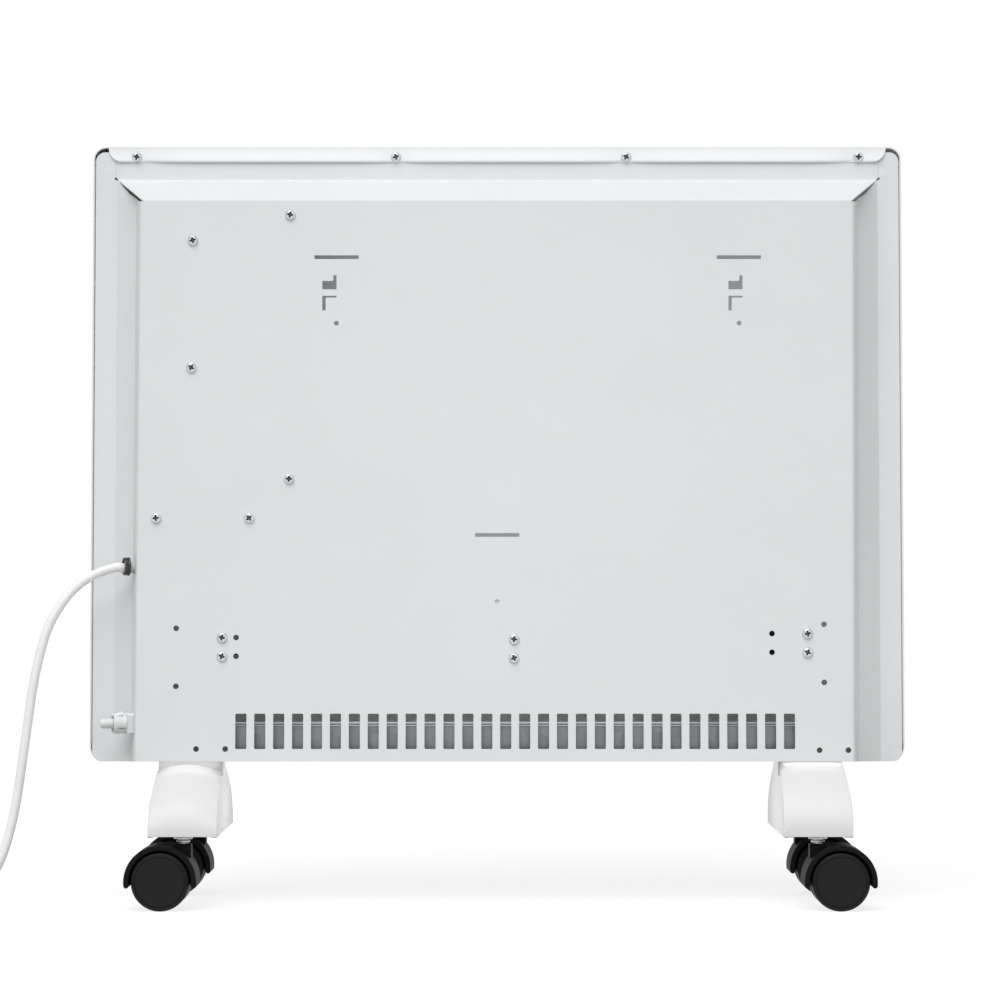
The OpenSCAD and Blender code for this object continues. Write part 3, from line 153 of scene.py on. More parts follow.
# Lead: each row of the table is how far out, how far back, and the share of the fall left
CORD_R = 3.2
LIE_Z = 3.8
COIL_R = 44.0
COIL_PITCH = 6.9
COIL_TURNS = 5.25
COIL_CLIMB = 2.375
COIL_STEPS = 48
PLUG_Z = 18.5
PLUG_R = 17.0
PLUG_L = 54.0
PIN_X = 9.5
PIN_R = 2.4
TAIL_STEP = 3.2
LEAD_TABLE = [
    (29.5, 4.5, 0.976), (41.5, 7.5, 0.937), (51.5, 11.5, 0.881), (59.5, 14.5, 0.811),
    (64.5, 17.5, 0.729), (68.5, 20.5, 0.634), (71.5, 23.5, 0.525), (74.5, 26.5, 0.417),
    (77.5, 29.5, 0.313), (81.5, 33.5, 0.218), (87.5, 37.5, 0.131), (97.5, 41.5, 0.057),
    (111.5, 44.5, 0.014), (127.5, 45.5, 0.0), (143.5, 45.5, 0.0), (151.5, 45.5, 0.0)]

# Camera, fitted to the photograph
CAM_Y = 2480.0
CAM_Z = 230.5
CAM_TILT = 0.0572
CAM_LENS = 125.87
CAM_SHIFT = (0.0028, -0.1266)

# Stage
WORLD_LIGHT = 0.43
FLOOR_HALF = 6.0
FLOOR_TONE = 0.5
FLOOR_SHADOW = 0.24
FLOOR_GLOW = 0.79


# ---- materials

def srgb(r, g, b):
    """Linear colour of an 8-bit screen colour."""
    def linear(v):
        c = v / 255.0
        return c / 12.92 if c <= 0.04045 else ((c + 0.055) / 1.055) ** 2.4
    return (linear(r), linear(g), linear(b), 1.0)


def shade(tone, factor):
    return (tone[0] * factor, tone[1] * factor, tone[2] * factor, 1.0)


class Tree:
    """Wires one node tree."""

    def __init__(self, tree):
        self.tree = tree

    def fill(self, node, inputs):
        """Give each input a plain value, or a link from another node's output."""
        for key, value in inputs.items():
            if isinstance(value, bpy.types.NodeSocket):
                self.tree.links.new(value, node.inputs[key])
            else:
                node.inputs[key].default_value = value

    def put(self, kind, inputs, **settings):
        """Outputs of a new node."""
        node = self.tree.nodes.new(kind)
        for key, value in settings.items():
            setattr(node, key, value)
        self.fill(node, inputs)
        return node.outputs


class Material(Tree):
    """A new material and the steps that its look is made of."""

    def __init__(self, name):
        self.material = bpy.data.materials.new(name)
        self.material.use_nodes = True
        super().__init__(self.material.node_tree)
        self.shader = self.tree.nodes["Principled BSDF"]
        self.place = self.put("ShaderNodeTexCoord", {})["Object"]

    def noise(self, scale, detail=3.0, roughness=0.55, stretch=None):
        place = self.place
        if stretch:
            place = self.put("ShaderNodeMapping", {"Vector": place, "Scale": stretch})["Vector"]
        return self.put("ShaderNodeTexNoise", {"Vector": place, "Scale": scale, "Detail": detail,
                                               "Roughness": roughness})["Fac"]

    def ramp(self, source, low, high, out_low=0.0, out_high=1.0):
        return self.put("ShaderNodeMapRange", {"Value": source, "From Min": low, "From Max": high,
                                               "To Min": out_low, "To Max": out_high})["Result"]

    def mix(self, factor, a, b):
        """Colour a where factor is 0, b where it is 1."""
        return self.put("ShaderNodeMix", {0: factor, 6: a, 7: b}, data_type="RGBA")[2]

    def combine(self, operation, a, b):
        return self.put("ShaderNodeMath", {0: a, 1: b}, operation=operation)["Value"]

    def spot(self, centre, radius):
        """1 at a point in metres, falling to 0 at a radius."""
        far = self.put("ShaderNodeVectorMath", {0: self.place, 1: centre}, operation="DISTANCE")
        return self.ramp(far["Value"], 0.0, radius, 1.0, 0.0)

    def finish(self, height, strength, distance, inputs):
        """Bump the surface, fill the shader's inputs and return the material."""
        bump = self.put("ShaderNodeBump", {"Height": height, "Strength": strength,
                                           "Distance": distance})
        self.fill(self.shader, {"Normal": bump["Normal"], **inputs})
        return self.material


def painted(name, tone, rough, grain, soil, dents=()):
    """Powder coat: fine orange peel, faint clouding and a little dust."""
    m = Material(name)
    clouds = m.ramp(m.noise(9.0, 5.0), 0.35, 0.7)
    specks = m.ramp(m.noise(900.0, 2.0), 0.70, 0.78, 0.0, 0.35)
    waves = m.combine("MULTIPLY", m.noise(28.0, 2.0), 6.0)
    height = m.combine("ADD", m.noise(700.0, 2.0), waves)
    for centre, radius, depth in dents:
        dent = m.combine("MULTIPLY", m.spot(centre, radius), depth)
        height = m.combine("ADD", height, dent)
    return m.finish(height, grain, 0.0004, {
        "Base Color": m.mix(specks, m.mix(clouds, tone, shade(tone, soil)), shade(tone, 0.9)),
        "Roughness": m.ramp(m.noise(40.0, 4.0), 0.3, 0.7, rough - 0.05, rough + 0.07),
        "Specular IOR Level": 0.42})


def plastic(name, tone, rough=0.45, grain=0.08, scale=900.0, wear=0.9, coat=0.0, specular=0.45,
            depth=0.0):
    """Moulded plastic with a fine grain and faint marks; depth is how far light goes into it."""
    m = Material(name)
    clouds = m.ramp(m.noise(22.0, 5.0), 0.4, 0.75)
    marks = m.noise(60.0, 6.0, 0.7, (1.0, 1.0, 0.25))
    inputs = {"Base Color": m.mix(clouds, tone, shade(tone, wear)),
              "Roughness": m.ramp(marks, 0.3, 0.75, rough - 0.06, rough + 0.1),
              "Specular IOR Level": specular, "Coat Weight": coat}
    if depth:
        inputs.update({"Subsurface Weight": 1.0, "Subsurface Radius": (1.0, 1.0, 1.0),
                       "Subsurface Scale": depth})
    return m.finish(m.noise(scale, 2.0), grain, 0.0003, inputs)


def metal(name, tone, rough, streak, scale, dull):
    """Bare or plated metal with streaks and patches of duller finish."""
    m = Material(name)
    patches = m.ramp(m.noise(scale, 5.0, 0.6, streak), 0.35, 0.7)
    streaks = m.noise(scale * 3.0, 4.0, 0.6, streak)
    return m.finish(m.noise(scale * 8.0, 2.0, 0.5, streak), 0.05, 0.0002, {
        "Base Color": m.mix(patches, tone, shade(tone, dull)),
        "Roughness": m.ramp(streaks, 0.3, 0.7, rough - 0.08, rough + 0.12),
        "Metallic": 1.0})


def zinc_spangle(name):
    """Hot-dip galvanised sheet."""
    m = Material(name)
    cells = m.put("ShaderNodeTexVoronoi", {"Vector": m.place, "Scale": 130.0})["Color"]
    value = m.ramp(cells, 0.0, 1.0)
    return m.finish(m.noise(300.0, 3.0), 0.08, 0.0002, {
        "Base Color": m.mix(value, srgb(122, 126, 129), srgb(146, 150, 152)),
        "Roughness": m.ramp(value, 0.0, 1.0, 0.38, 0.55), "Metallic": 0.9})


# Small dents of the pressing: place in metres, radius, depth
DENTS = [((0.277, 0.0031, 0.515), 0.004, 14.0), ((0.2795, 0.0031, 0.520), 0.003, -9.0),
         ((-0.2745, 0.0031, 0.514), 0.004, 14.0), ((0.224, 0.04, 0.223), 0.007, -12.0)]
EVEN = (1, 1, 1)
MAT = {
    "housing": painted("housing_paint", srgb(219, 221, 222), 0.44, 0.06, 0.975, DENTS),
    # Housing paint darkened for the bush's neck so that it shows the steep step's shade: painted
    # shade.
    "neck": painted("neck_paint_painted_shade", srgb(180, 182, 183), 0.5, 0.05, 0.975),
    "panel": painted("panel_paint", srgb(233, 235, 236), 0.36, 0.05, 0.985),
    "foot": plastic("foot_plastic", srgb(209, 209, 209), 0.42, 0.05, 700.0, 0.985),
    "white": plastic("white_plastic", srgb(236, 237, 238), 0.4, 0.05, 900.0, 0.97),
    "fitting": plastic("fitting_nylon", srgb(217, 218, 219), 0.4, 0.04, 900.0, 0.98,
                       specular=0.35, depth=0.0015),
    "cord": plastic("cord_sleeve", srgb(226, 226, 227), 0.5, 0.06, 500.0, 0.97,
                    specular=0.3, depth=0.006),
    "black": plastic("black_nylon", srgb(22, 22, 23), 0.45, 0.16, 1100.0, 0.8, specular=0.3),
    "hood": plastic("hood_nylon", srgb(11, 11, 11), 0.55, 0.10, 1100.0, 0.8, specular=0.1),
    "tread": plastic("wheel_nylon", srgb(19, 19, 19), 0.46, 0.5, 1300.0, 0.8, specular=0.17),
    "gland": plastic("gland_nylon", srgb(23, 25, 27), 0.22, 0.05, 600.0, 0.8, specular=0.6),
    "grille": plastic("grille_plastic", srgb(222, 224, 226), 0.45, 0.06, 900.0, 0.96),
    "key": plastic("key_rubber", srgb(226, 228, 230), 0.5, 0.06, 900.0, 0.96),
    "window": plastic("window_plastic", srgb(16, 17, 19), 0.12, 0.01, 300.0, coat=0.6),
    "board": plastic("board_mask", srgb(34, 92, 58), 0.35, 0.08, 400.0, 0.85),
    "box": plastic("box_plastic", srgb(206, 208, 210), 0.5, 0.08, 900.0, 0.95),
    "ceramic": plastic("ceramic_body", srgb(232, 228, 214), 0.6, 0.12, 600.0, 0.94),
    "wire": plastic("wire_sleeve", srgb(150, 52, 40), 0.45, 0.04, 400.0, 0.85),
    "tie": plastic("tie_strap", srgb(70, 71, 73), 0.6, 0.4, 1500.0, 0.8),
    "screw": metal("screw_zinc", srgb(214, 216, 218), 0.22, EVEN, 160.0, 0.8),
    # Darker metal for the walls and floors of the cross recesses: painted shade.
    "recess": metal("screw_recess_painted_shade", srgb(96, 98, 100), 0.4, EVEN, 160.0, 0.7),
    "stem": metal("stem_zinc", srgb(188, 190, 193), 0.26, EVEN, 120.0, 0.78),
    "pin": metal("pin_nickel", srgb(206, 202, 190), 0.18, (1, 0.2, 1), 120.0, 0.85),
    "steel": metal("sheet_steel", srgb(170, 173, 176), 0.38, (1, 1, 0.3), 60.0, 0.85),
    "fin": metal("fin_aluminium", srgb(150, 152, 155), 0.42, (0.1, 1, 1), 60.0, 0.85),
    "zinc": zinc_spangle("galvanised_sheet"),
    # Brighter, non-metal tone for the baffle's fold edges, so that they show as lit lines: painted
    # highlight.
    "hem": plastic("hem_painted_highlight", srgb(186, 190, 193), 0.4, 0.1, 400.0, 0.85),
}


# ---- outlines, and the maps that take them into the part

def spaced(a, b, n):
    """n + 1 values from a to b."""
    return [a + (b - a) * k / n for k in range(n + 1)]


def arc(cx, cy, r, a0, a1, n):
    """Points on an arc, angles in degrees, ends included."""
    return [(cx + r * math.cos(math.radians(a)), cy + r * math.sin(math.radians(a)))
            for a in spaced(a0, a1, n)]


def round_rect(cx, cy, w, h, r, n=4):
    x, y = w / 2 - r, h / 2 - r
    return (arc(cx + x, cy + y, r, 0, 90, n) + arc(cx - x, cy + y, r, 90, 180, n)
            + arc(cx - x, cy - y, r, 180, 270, n) + arc(cx + x, cy - y, r, 270, 360, n))


def circle(cx, cy, r, n=20):
    return arc(cx, cy, r, 0, 360 - 360 / n, n - 1)


def fillet(points, radii, n=5):
    """Open path with its inner corners rounded."""
    out = [points[0]]
    for i, r in enumerate(radii, 1):
        a, b, c = (Vector(points[i + k]) for k in (-1, 0, 1))
        u, v = (a - b).normalized(), (c - b).normalized()
        half = u.angle(v) / 2
        reach = r / math.tan(half)
        centre = b + (u + v).normalized() * (r / math.sin(half))
        p, q = b + u * reach, b + v * reach
        a0 = math.atan2(*(p - centre).yx)
        a1 = math.atan2(*(q - centre).yx)
        turn = (a1 - a0 + math.pi) % (2 * math.pi) - math.pi
        out.append(tuple(p + u * SUPPORT))
        out += arc(centre.x, centre.y, r, math.degrees(a0), math.degrees(a0 + turn), n)
        out.append(tuple(q + v * SUPPORT))
    return out + [points[-1]]


def back(side=1):
    """Maps (across, up, out) of the casing, or of its mirror image."""
    return lambda x, z, y: (side * x, y, z)


def upright(x, y):
    """Maps (across, along, height) round an upright axis."""
    return lambda a, b, h: (x + a, y + b, h)


def facing(x, y, z, way=1):
    """Maps (across, up, out) where out is along Y, or against it."""
    return lambda a, b, h: (x + a, y + way * h, z + b)


def wall_frame(centre):
    """Maps (along the wall, up, out of the wall) at a point of the steep step."""
    c, s = math.cos(WALL_ANGLE), math.sin(WALL_ANGLE)
    return lambda a, b, h: (centre[0] + h * c - a * s, centre[1] + h * s + a * c, centre[2] + b)


def full_turn(n):
    return [2 * math.pi * i / n for i in range(n)]


def ring(place, r, h, turns):
    """Points at a radius and a height, one for each angle."""
    return [place(r * math.cos(a), r * math.sin(a), h) for a in turns]


# ---- mesh tools

def inside(point, loop):
    x, y = point
    odd = False
    for (x0, y0), (x1, y1) in zip(loop, loop[1:] + loop[:1]):
        if (y0 > y) != (y1 > y) and x < (x1 - x0) * (y - y0) / (y1 - y0) + x0:
            odd = not odd
    return odd


def is_sliver(a, b, c):
    longest = max((b - a).length, (c - b).length, (a - c).length)
    return abs((b - a).cross(c - a)) < 0.001 * longest


def holed_face(outer, holes):
    """Triangles of a flat outline with holes: (points, triangles)."""
    points = []
    edges = []
    for loop in [outer] + list(holes):
        start = len(points)
        points += [Vector(p) for p in loop]
        edges += [(start + i, start + (i + 1) % len(loop)) for i in range(len(loop))]
    made, _, tris, *_ = delaunay_2d_cdt(points, edges, [], 0, 1e-5)
    spans = [(min(p[0] for p in h), max(p[0] for p in h), h) for h in holes]
    keep = []
    for tri in tris:
        mid = [sum(made[i][k] for i in tri) / 3 for k in (0, 1)]
        if is_sliver(*(made[i] for i in tri)) or not inside(mid, outer):
            continue
        if not any(low < mid[0] < high and inside(mid, h) for low, high, h in spans):
            keep.append(tuple(tri))
    return [tuple(p) for p in made], keep


def new_object(name, data):
    obj = bpy.data.objects.new(name, data)
    bpy.context.scene.collection.objects.link(obj)
    return obj


class Skin:
    """Collects faces in millimetres and makes one object of them."""

    def __init__(self):
        self.points = []
        self.faces = []

    def add(self, points, faces):
        start = len(self.points)
        self.points += [tuple(p) for p in points]
        self.faces += [tuple(start + i for i in f) for f in faces]

    def grid(self, rows, close=False):
        """Quads between rows of points of the same length; close joins each row's ends."""
        n = len(rows[0])
        last = n if close else n - 1
        faces = [(r * n + i, r * n + (i + 1) % n, (r + 1) * n + (i + 1) % n, (r + 1) * n + i)
                 for r in range(len(rows) - 1) for i in range(last)]
        self.add([p for row in rows for p in row], faces)

    def flat(self, outer, place, h, holes=(), flip=False):
        """Outline with holes, filled at a height."""
        points, tris = holed_face(outer, holes)
        self.add([place(*p, h) for p in points], [t[::-1] for t in tris] if flip else tris)

    def loft(self, levels, place):
        """Wall through closed outlines, each at its own height."""
        self.grid([[place(*p, h) for p in outline] for outline, h in levels], close=True)

    def wall(self, outline, start, end, place):
        self.loft([(outline, start), (outline, end)], place)

    def lathe(self, profile, place, n=48):
        """Profile of (radius, height) turned about an axis."""
        self.grid([ring(place, r, h, full_turn(n)) for r, h in profile], close=True)

    def box(self, low, high):
        (x0, y0, z0), (x1, y1, z1) = low, high
        self.add([(x, y, z) for z in (z0, z1) for y in (y0, y1) for x in (x0, x1)],
                 [(0, 2, 3, 1), (4, 5, 7, 6), (0, 1, 5, 4), (2, 6, 7, 3), (0, 4, 6, 2),
                  (1, 3, 7, 5)])

    def make(self, name, material, nodes=(), body="heater", thick=0.0, offset=-1.0,
             angle=32.0):
        """The object, which stands for the named CAD nodes and rides on a body."""
        mesh = bpy.data.meshes.new(name)
        work = bmesh.new()
        verts = [work.verts.new((x * MM, y * MM, z * MM)) for x, y, z in self.points]
        for face in self.faces:
            work.faces.new([verts[i] for i in face])
        bmesh.ops.remove_doubles(work, verts=work.verts, dist=2e-6)
        bmesh.ops.dissolve_degenerate(work, edges=work.edges, dist=1e-6)
        bmesh.ops.recalc_face_normals(work, faces=work.faces)
        work.to_mesh(mesh)
        work.free()
        obj = new_object(name, mesh)
        dress(obj, material, angle)
        if thick:
            solid = obj.modifiers.new("thickness", "SOLIDIFY")
            solid.thickness = thick * MM
            solid.offset = offset
            solid.use_even_offset = True
            split = obj.modifiers.new("rims", "EDGE_SPLIT")
            split.split_angle = math.radians(angle)
        weigh_normals(obj)
        if nodes:
            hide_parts(*nodes)
        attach(obj, body)
        return obj


def dress(obj, material, angle):
    obj.data.shade_smooth()
    obj.data.set_sharp_from_angle(angle=math.radians(angle))
    obj.data.materials.clear()
    obj.data.materials.append(MAT[material])


def weigh_normals(obj):
    obj.modifiers.new("normals", "WEIGHTED_NORMAL").keep_sharp = True


def reuse(node, material, bevel=0.0, angle=32.0):
    """A CAD node shown as it is, with a better material and softer edges."""
    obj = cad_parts[node]
    dress(obj, material, angle)
    if bevel:
        edges = obj.modifiers.new("edges", "BEVEL")
        edges.width = bevel * MM
        edges.segments = 2
        edges.limit_method = "ANGLE"
        edges.angle_limit = math.radians(angle)
    weigh_normals(obj)


# ---- casing

SIDE_BEND = fillet([(FLANGE_X, FLANGE_Y), (SLOPE_X, FLANGE_Y), (STEP_X, STEP_Y),
                    (PLATE_X, PLATE_Y), (0.0, PLATE_Y)], [BEND, BEND, SIDE_BEND_R])[1:-1]
TOP_BEND = fillet([(HOUSING_TOP, FLANGE_Y), (SLOPE_Z, FLANGE_Y), (PLATE_TOP, PLATE_Y),
                   (HOUSING_Z, PLATE_Y)], [PLATE_BEND, PLATE_BEND])[1:-1]
OUTER_X, INNER_X = SIDE_BEND[0][0], SIDE_BEND[-1][0]
OUTER_Z, INNER_Z = TOP_BEND[0][0], TOP_BEND[-1][0]
TOP_START = OUTER_X - 0.85


def on_plate(*shares):
    return [(x * PLATE_HALF, HOUSING_Z + z * PLATE_H) for x, z in shares]


CASE_SCREWS = on_plate((0.58, 0.973), (0.853, 0.927), (0.855, 0.699), (0.581, 0.5),
                       (0.952, 0.43), (0.692, 0.43))
BRACKETS = on_plate((0.766, 0.201), (-0.047, 0.198), (-0.864, 0.208))
SPARE = on_plate((0.894, 0.234), (0.894, 0.131), (-0.91, 0.241), (-0.91, 0.138),
                 (0.837, 0.02), (0.756, 0.02), (-0.896, 0.018), (-0.976, 0.018))
SPARE_PAIRS = on_plate((0.727, 0.201), (-0.765, 0.208))
HOOKS = on_plate((0.45, 0.897), (-0.677, 0.897))
HOOK_SHIFTS = (0.0, -0.25)
LOW_SLOT, CUTOUT = on_plate((0.0, 0.4), (0.0, 0.281))
PAIR = 13.0
SCREW_HOLE = 2.2
SPARE_HOLE = 2.0
SHEET_HOLE = 1.95
LOCK_HOLE = 1.7


def pairs(places):
    return [(x, z + k * PAIR) for x, z in places for k in (-0.5, 0.5)]


def hook_slot(x, z):
    return round_rect(x, z, 31.0, 2.6, 0.3, 2)


def hook_holes(place, shift):
    """Hook slot, keyed window, L-shaped slit and locking hole."""
    x, z = place
    x0 = x + shift * 9.9
    x1 = x0 + 9.9
    top = z - 16.7
    low = top - 5.9
    slit = low - 4.5
    window = [(x0, low), (x1, low), (x1, top), (x0 + 2.8, top), (x0 + 2.2, top + 0.6),
              (x0 + 2.2, top + 4.0), (x0, top + 4.0)]
    ell = [(x0, slit - 1.3), (x1 - 2.9, slit - 1.3), (x1 - 2.3, slit - 1.9),
           (x1 - 2.3, slit - 10.3), (x1, slit - 10.3), (x1, slit), (x0, slit)]
    return [hook_slot(x, z), window, ell, circle(x, z - 46.3, LOCK_HOLE)]


def plate_holes():
    first = SLOTS_X - SLOT_ROW / 2
    holes = [round_rect(first + SLOT_PITCH * i, SLOT_Z, SLOT_W, SLOT_H, 0.8, 3)
             for i in range(SLOT_COUNT)]
    holes += [circle(x, z, SCREW_HOLE) for x, z in CASE_SCREWS + pairs(BRACKETS)]
    holes += [circle(x, z, SPARE_HOLE) for x, z in SPARE + pairs(SPARE_PAIRS)]
    for place, shift in zip(HOOKS, HOOK_SHIFTS):
        holes += hook_holes(place, shift)
    return holes + [hook_slot(*LOW_SLOT), circle(*CUTOUT, LOCK_HOLE)]


def side_top(y):
    """Top edge of the side sheet: its cut looks straight from behind."""
    cut = [(FLANGE_Y, OUTER_Z - 0.9), (STEP_Y - 4.5, 498.6), (STEP_Y + 1.5, 494.4),
           (PLATE_Y - 4.0, 491.2), (PLATE_Y, INNER_Z)]
    for (y0, z0), (y1, z1) in zip(cut, cut[1:]):
        if y <= y1:
            return z0 + (z1 - z0) * (y - y0) / (y1 - y0)
    return INNER_Z


def side_low(y):
    """Lower edge of the side sheet: level with the plate's as seen from behind."""
    return HOUSING_LOW + (PLATE_LOW - HOUSING_LOW) * (y - FLANGE_Y) / (PLATE_Y - FLANGE_Y)


def top_edge(z):
    """Half width of the top slope, cut straight from the flange to the plate."""
    return TOP_START + (INNER_X - TOP_START) * (OUTER_Z - z) / (OUTER_Z - INNER_Z)


def lean(y, z):
    """The raised form sits a little askew in the tray, as in the photograph."""
    raised = min(1.0, max(0.0, (y - FLANGE_Y) / (STEP_Y - FLANGE_Y)))
    return LEAN * raised * max(0.0, (PLATE_TOP - z) / PLATE_H)


def add_plate(skin):
    heights = spaced(PLATE_LOW, INNER_Z, 4)
    outline = [(-INNER_X + lean(PLATE_Y, PLATE_LOW), PLATE_LOW)]
    outline += [(INNER_X + lean(PLATE_Y, z), z) for z in heights]
    outline += [(INNER_X * k, INNER_Z) for k in (0.5, 0, -0.5)]
    outline += [(-INNER_X + lean(PLATE_Y, z), z) for z in heights[:0:-1]]
    skin.flat(outline, back(), PLATE_Y, plate_holes())


def add_side(skin, sign):
    rows = []
    for (xa, ya), (xb, yb) in zip(SIDE_BEND, SIDE_BEND[1:]):
        rows += list(zip(spaced(xa, xb, 6), spaced(ya, yb, 6)))[:-1]
    rows.append(SIDE_BEND[-1])
    skin.grid([[(sign * x + lean(y, z), y, z) for z in spaced(side_low(y), side_top(y), 4)]
               for x, y in rows])


def add_flange(skin, sign):
    """Side flange, with a small notch where the top slope's seam ends."""
    corner_x = FLANGE_X - FLANGE_FOOT_R
    outline = [(OUTER_X, HOUSING_LOW), (corner_x, HOUSING_LOW)]
    outline += arc(corner_x, HOUSING_LOW + FLANGE_FOOT_R, FLANGE_FOOT_R, -90, 0, 6)[1:]
    outline += arc(FLANGE_X - FLANGE_R, FLANGE_TOP - FLANGE_R, FLANGE_R, 0, 90, 8)
    outline += [(OUTER_X + 0.05, FLANGE_TOP), (OUTER_X + 0.05, OUTER_Z + 1.1)]
    outline += [(OUTER_X + 1.0, OUTER_Z + 0.9), (OUTER_X + 1.2, OUTER_Z + 0.1)]
    outline += [(OUTER_X, z) for z in spaced(HOUSING_LOW, side_top(FLANGE_Y), 4)[:0:-1]]
    skin.flat(outline, back(sign), FLANGE_Y)


def build_housing():
    skin = Skin()
    add_plate(skin)
    for sign in (1, -1):
        add_side(skin, sign)
    skin.grid([[(s * top_edge(z), y, z) for s in (-1, -0.5, 0, 0.5, 1)] for z, y in TOP_BEND])
    for sign in (1, -1):
        add_flange(skin, sign)
    edge = OUTER_X - 0.05
    skin.flat([(-edge, FLANGE_TOP), (edge, FLANGE_TOP), (edge, OUTER_Z + 1.1)]
              + [(TOP_START * k, OUTER_Z) for k in (1, 0.5, 0, -0.5, -1)]
              + [(-edge, OUTER_Z + 1.1)], back(), FLANGE_Y,
              [circle(x, SCREW_Z, SHEET_HOLE) for x in TOP_SCREWS])
    skin.make("housing_pressing", "housing", ["rear_housing"], thick=SHEET,
              angle=28.0)


def floor_holes(radius):
    """Air slots and foot screw holes of the casing's floor."""
    first = -AIR_PITCH * (AIR_COUNT - 1) / 2
    return ([round_rect(first + AIR_PITCH * i, *AIR_SLOT) for i in range(AIR_COUNT)]
            + [circle(x, k * FOOT_SCREW_Y, radius) for x in FEET.values() for k in (-1, 1)])


def build_tray():
    """White front tray: face, rolled front edge and four walls."""
    skin = Skin()
    mid = (BASE_Z + TOP_Z) / 2
    width, height = 2 * PANEL_X, TOP_Z - BASE_Z

    def rim(d):
        return round_rect(0.0, mid, width - 2 * d, height - 2 * d, CORNER - d, 8)

    skin.flat(rim(FRONT_ROLL), back(), FRONT_Y,
              [round_rect(*GRILLE, 1.5, 3), round_rect(*FASCIA, 4.0, 5)], flip=True)
    skin.loft([(rim(FRONT_ROLL * (1 - math.sin(a))), FRONT_Y + FRONT_ROLL * (1 - math.cos(a)))
               for a in spaced(0.0, math.pi / 2, 5)], back())
    outer = rim(0.0)
    y0 = FRONT_Y + FRONT_ROLL
    for (xa, za), (xb, zb) in zip(outer, outer[1:] + outer[:1]):
        if max(abs(za - BASE_Z), abs(zb - BASE_Z)) < 1e-6:
            skin.flat([(xa, y0), (xb, y0), (xb, RIM_Y), (xa, RIM_Y)], upright(0, 0), BASE_Z,
                      floor_holes(SCREW_HOLE))
        else:
            end_a, end_b = [RIM_Y if z < BASE_Z + 3.0 else FLANGE_Y - 0.4 for z in (za, zb)]
            skin.add([(xa, y0, za), (xb, y0, zb), (xb, end_b, zb), (xa, end_a, za)],
                     [(0, 1, 2, 3)])
    skin.make("panel_tray", "panel", ["front_panel"], thick=SHEET, angle=40.0)


def build_hem():
    """Edge of the tray's side walls, turned in over the flange."""
    skin = Skin()
    lip = [(PANEL_X, FLANGE_Y - 0.45), (PANEL_X - 0.08, FLANGE_Y - 0.15), (PANEL_X - 0.3, FLANGE_Y),
           (PANEL_X - 0.55, FLANGE_Y - 0.1), (FLANGE_X + 0.48, FLANGE_Y - 1.2),
           (FLANGE_X + 0.35, FLANGE_Y - 2.6)]
    heights = spaced(BASE_Z + CORNER + 3.0, TOP_Z - CORNER - 1.0, 4)
    for sign in (1, -1):
        skin.grid([[(sign * x, y, z) for z in heights] for x, y in lip])
    skin.make("panel_hem", "panel", angle=60.0)


def build_bottom():
    """Bare steel plate that closes the casing from below."""
    skin = Skin()
    half = PANEL_X - CORNER
    rear = FLANGE_Y - 1.3
    wall = [(SLOPE_X - 0.8, rear), (STEP_X - 1.2, STEP_Y - 0.6), (PLATE_X - 1.2, PLATE_Y - 1.3)]
    outline = [(half, FRONT_Y + 1.9), (half, rear)]
    outline += [(x + lean(y, HOUSING_Z), y) for x, y in wall]
    outline += [(-x + lean(y, HOUSING_Z), y) for x, y in reversed(wall)]
    outline += [(-half, rear), (-half, FRONT_Y + 1.9)]
    skin.flat(outline, upright(0, 0), BASE_Z + 1.45, floor_holes(SHEET_HOLE))
    skin.make("bottom_sheet", "steel", ["bottom_plate"], thick=BASE_SHEET,
              offset=1.0, angle=40.0)


def build_baffle():
    """Galvanised sheet behind the intake slots, with a double fold along its top whose edges carry
    a painted highlight.
    """
    row = SLOT_ROW + SLOT_W + 8.8
    across = spaced(SLOTS_X - row / 2, SLOTS_X + row / 2, 10)
    y1, low, top = PLATE_Y - 9.0, HOUSING_Z + 0.4, HOUSING_Z + 26.3
    fold = [(y1 - inward, low + up) for inward, up in ((14.0, 0), (1.0, 0), (0.3, 0.3), (0, 1.0))]
    fold += [(y1 + out, top - down) for out, down in (
        (0, 3.1), (0.35, 2.9), (0.5, 2.6), (0.5, 2.15), (0.3, 2.0), (-0.5, 1.95), (-0.5, 1.6),
        (0.3, 1.5), (0.55, 1.2), (0.6, 0.7), (0.3, 0.2), (-0.2, 0), (-1.6, 0), (-2.3, 0.6),
        (-2.4, 5.0))]
    skin = Skin()
    skin.grid([[(x, y, z) for x in across] for y, z in fold])
    skin.make("baffle_sheet", "zinc", ["intake_baffle"], angle=30.0)
    # Strips on the fold's two edges in the bright hem tone: painted highlight.
    edges = Skin()
    for high, low in ((0.0, 1.4), (2.1, 2.9)):
        mid = top - (high + low) / 2
        edges.grid([[(x, y1 + out, z) for x in across]
                    for out, z in ((0.5, top - high), (0.8, mid + 0.2), (0.8, mid - 0.2),
                                   (0.5, top - low))])
    edges.make("baffle_edge_highlights", "hem", angle=60.0)


def strip_bow(x):
    """How far the strip springs off the flange between its screws."""
    near = min(abs(x - s) for s in TOP_SCREWS)
    return 1.7 * (1 - math.exp(-near / 11.0))


def strip_reach(z):
    """Half length of the strip at a height: its lower corners are round."""
    drop = TOP_Z - STRIP_H + STRIP_R - z
    if drop <= 0:
        return STRIP_END
    return STRIP_END - STRIP_R + math.sqrt(max(0.0, STRIP_R ** 2 - drop ** 2))


def strip_roll(drop):
    """How far the strip stands off the flange: a soft bead on top, its lower edge turned in."""
    bead = (1.0 + 0.38 * math.exp(-drop / 1.2)) * min(1.0, 0.75 + 0.25 * drop / 0.33)
    turn = max(0.0, (drop / STRIP_H - 0.82) / 0.18)
    return bead - 1.3 * (1 - math.sqrt(max(0.0, 1 - turn * turn)))


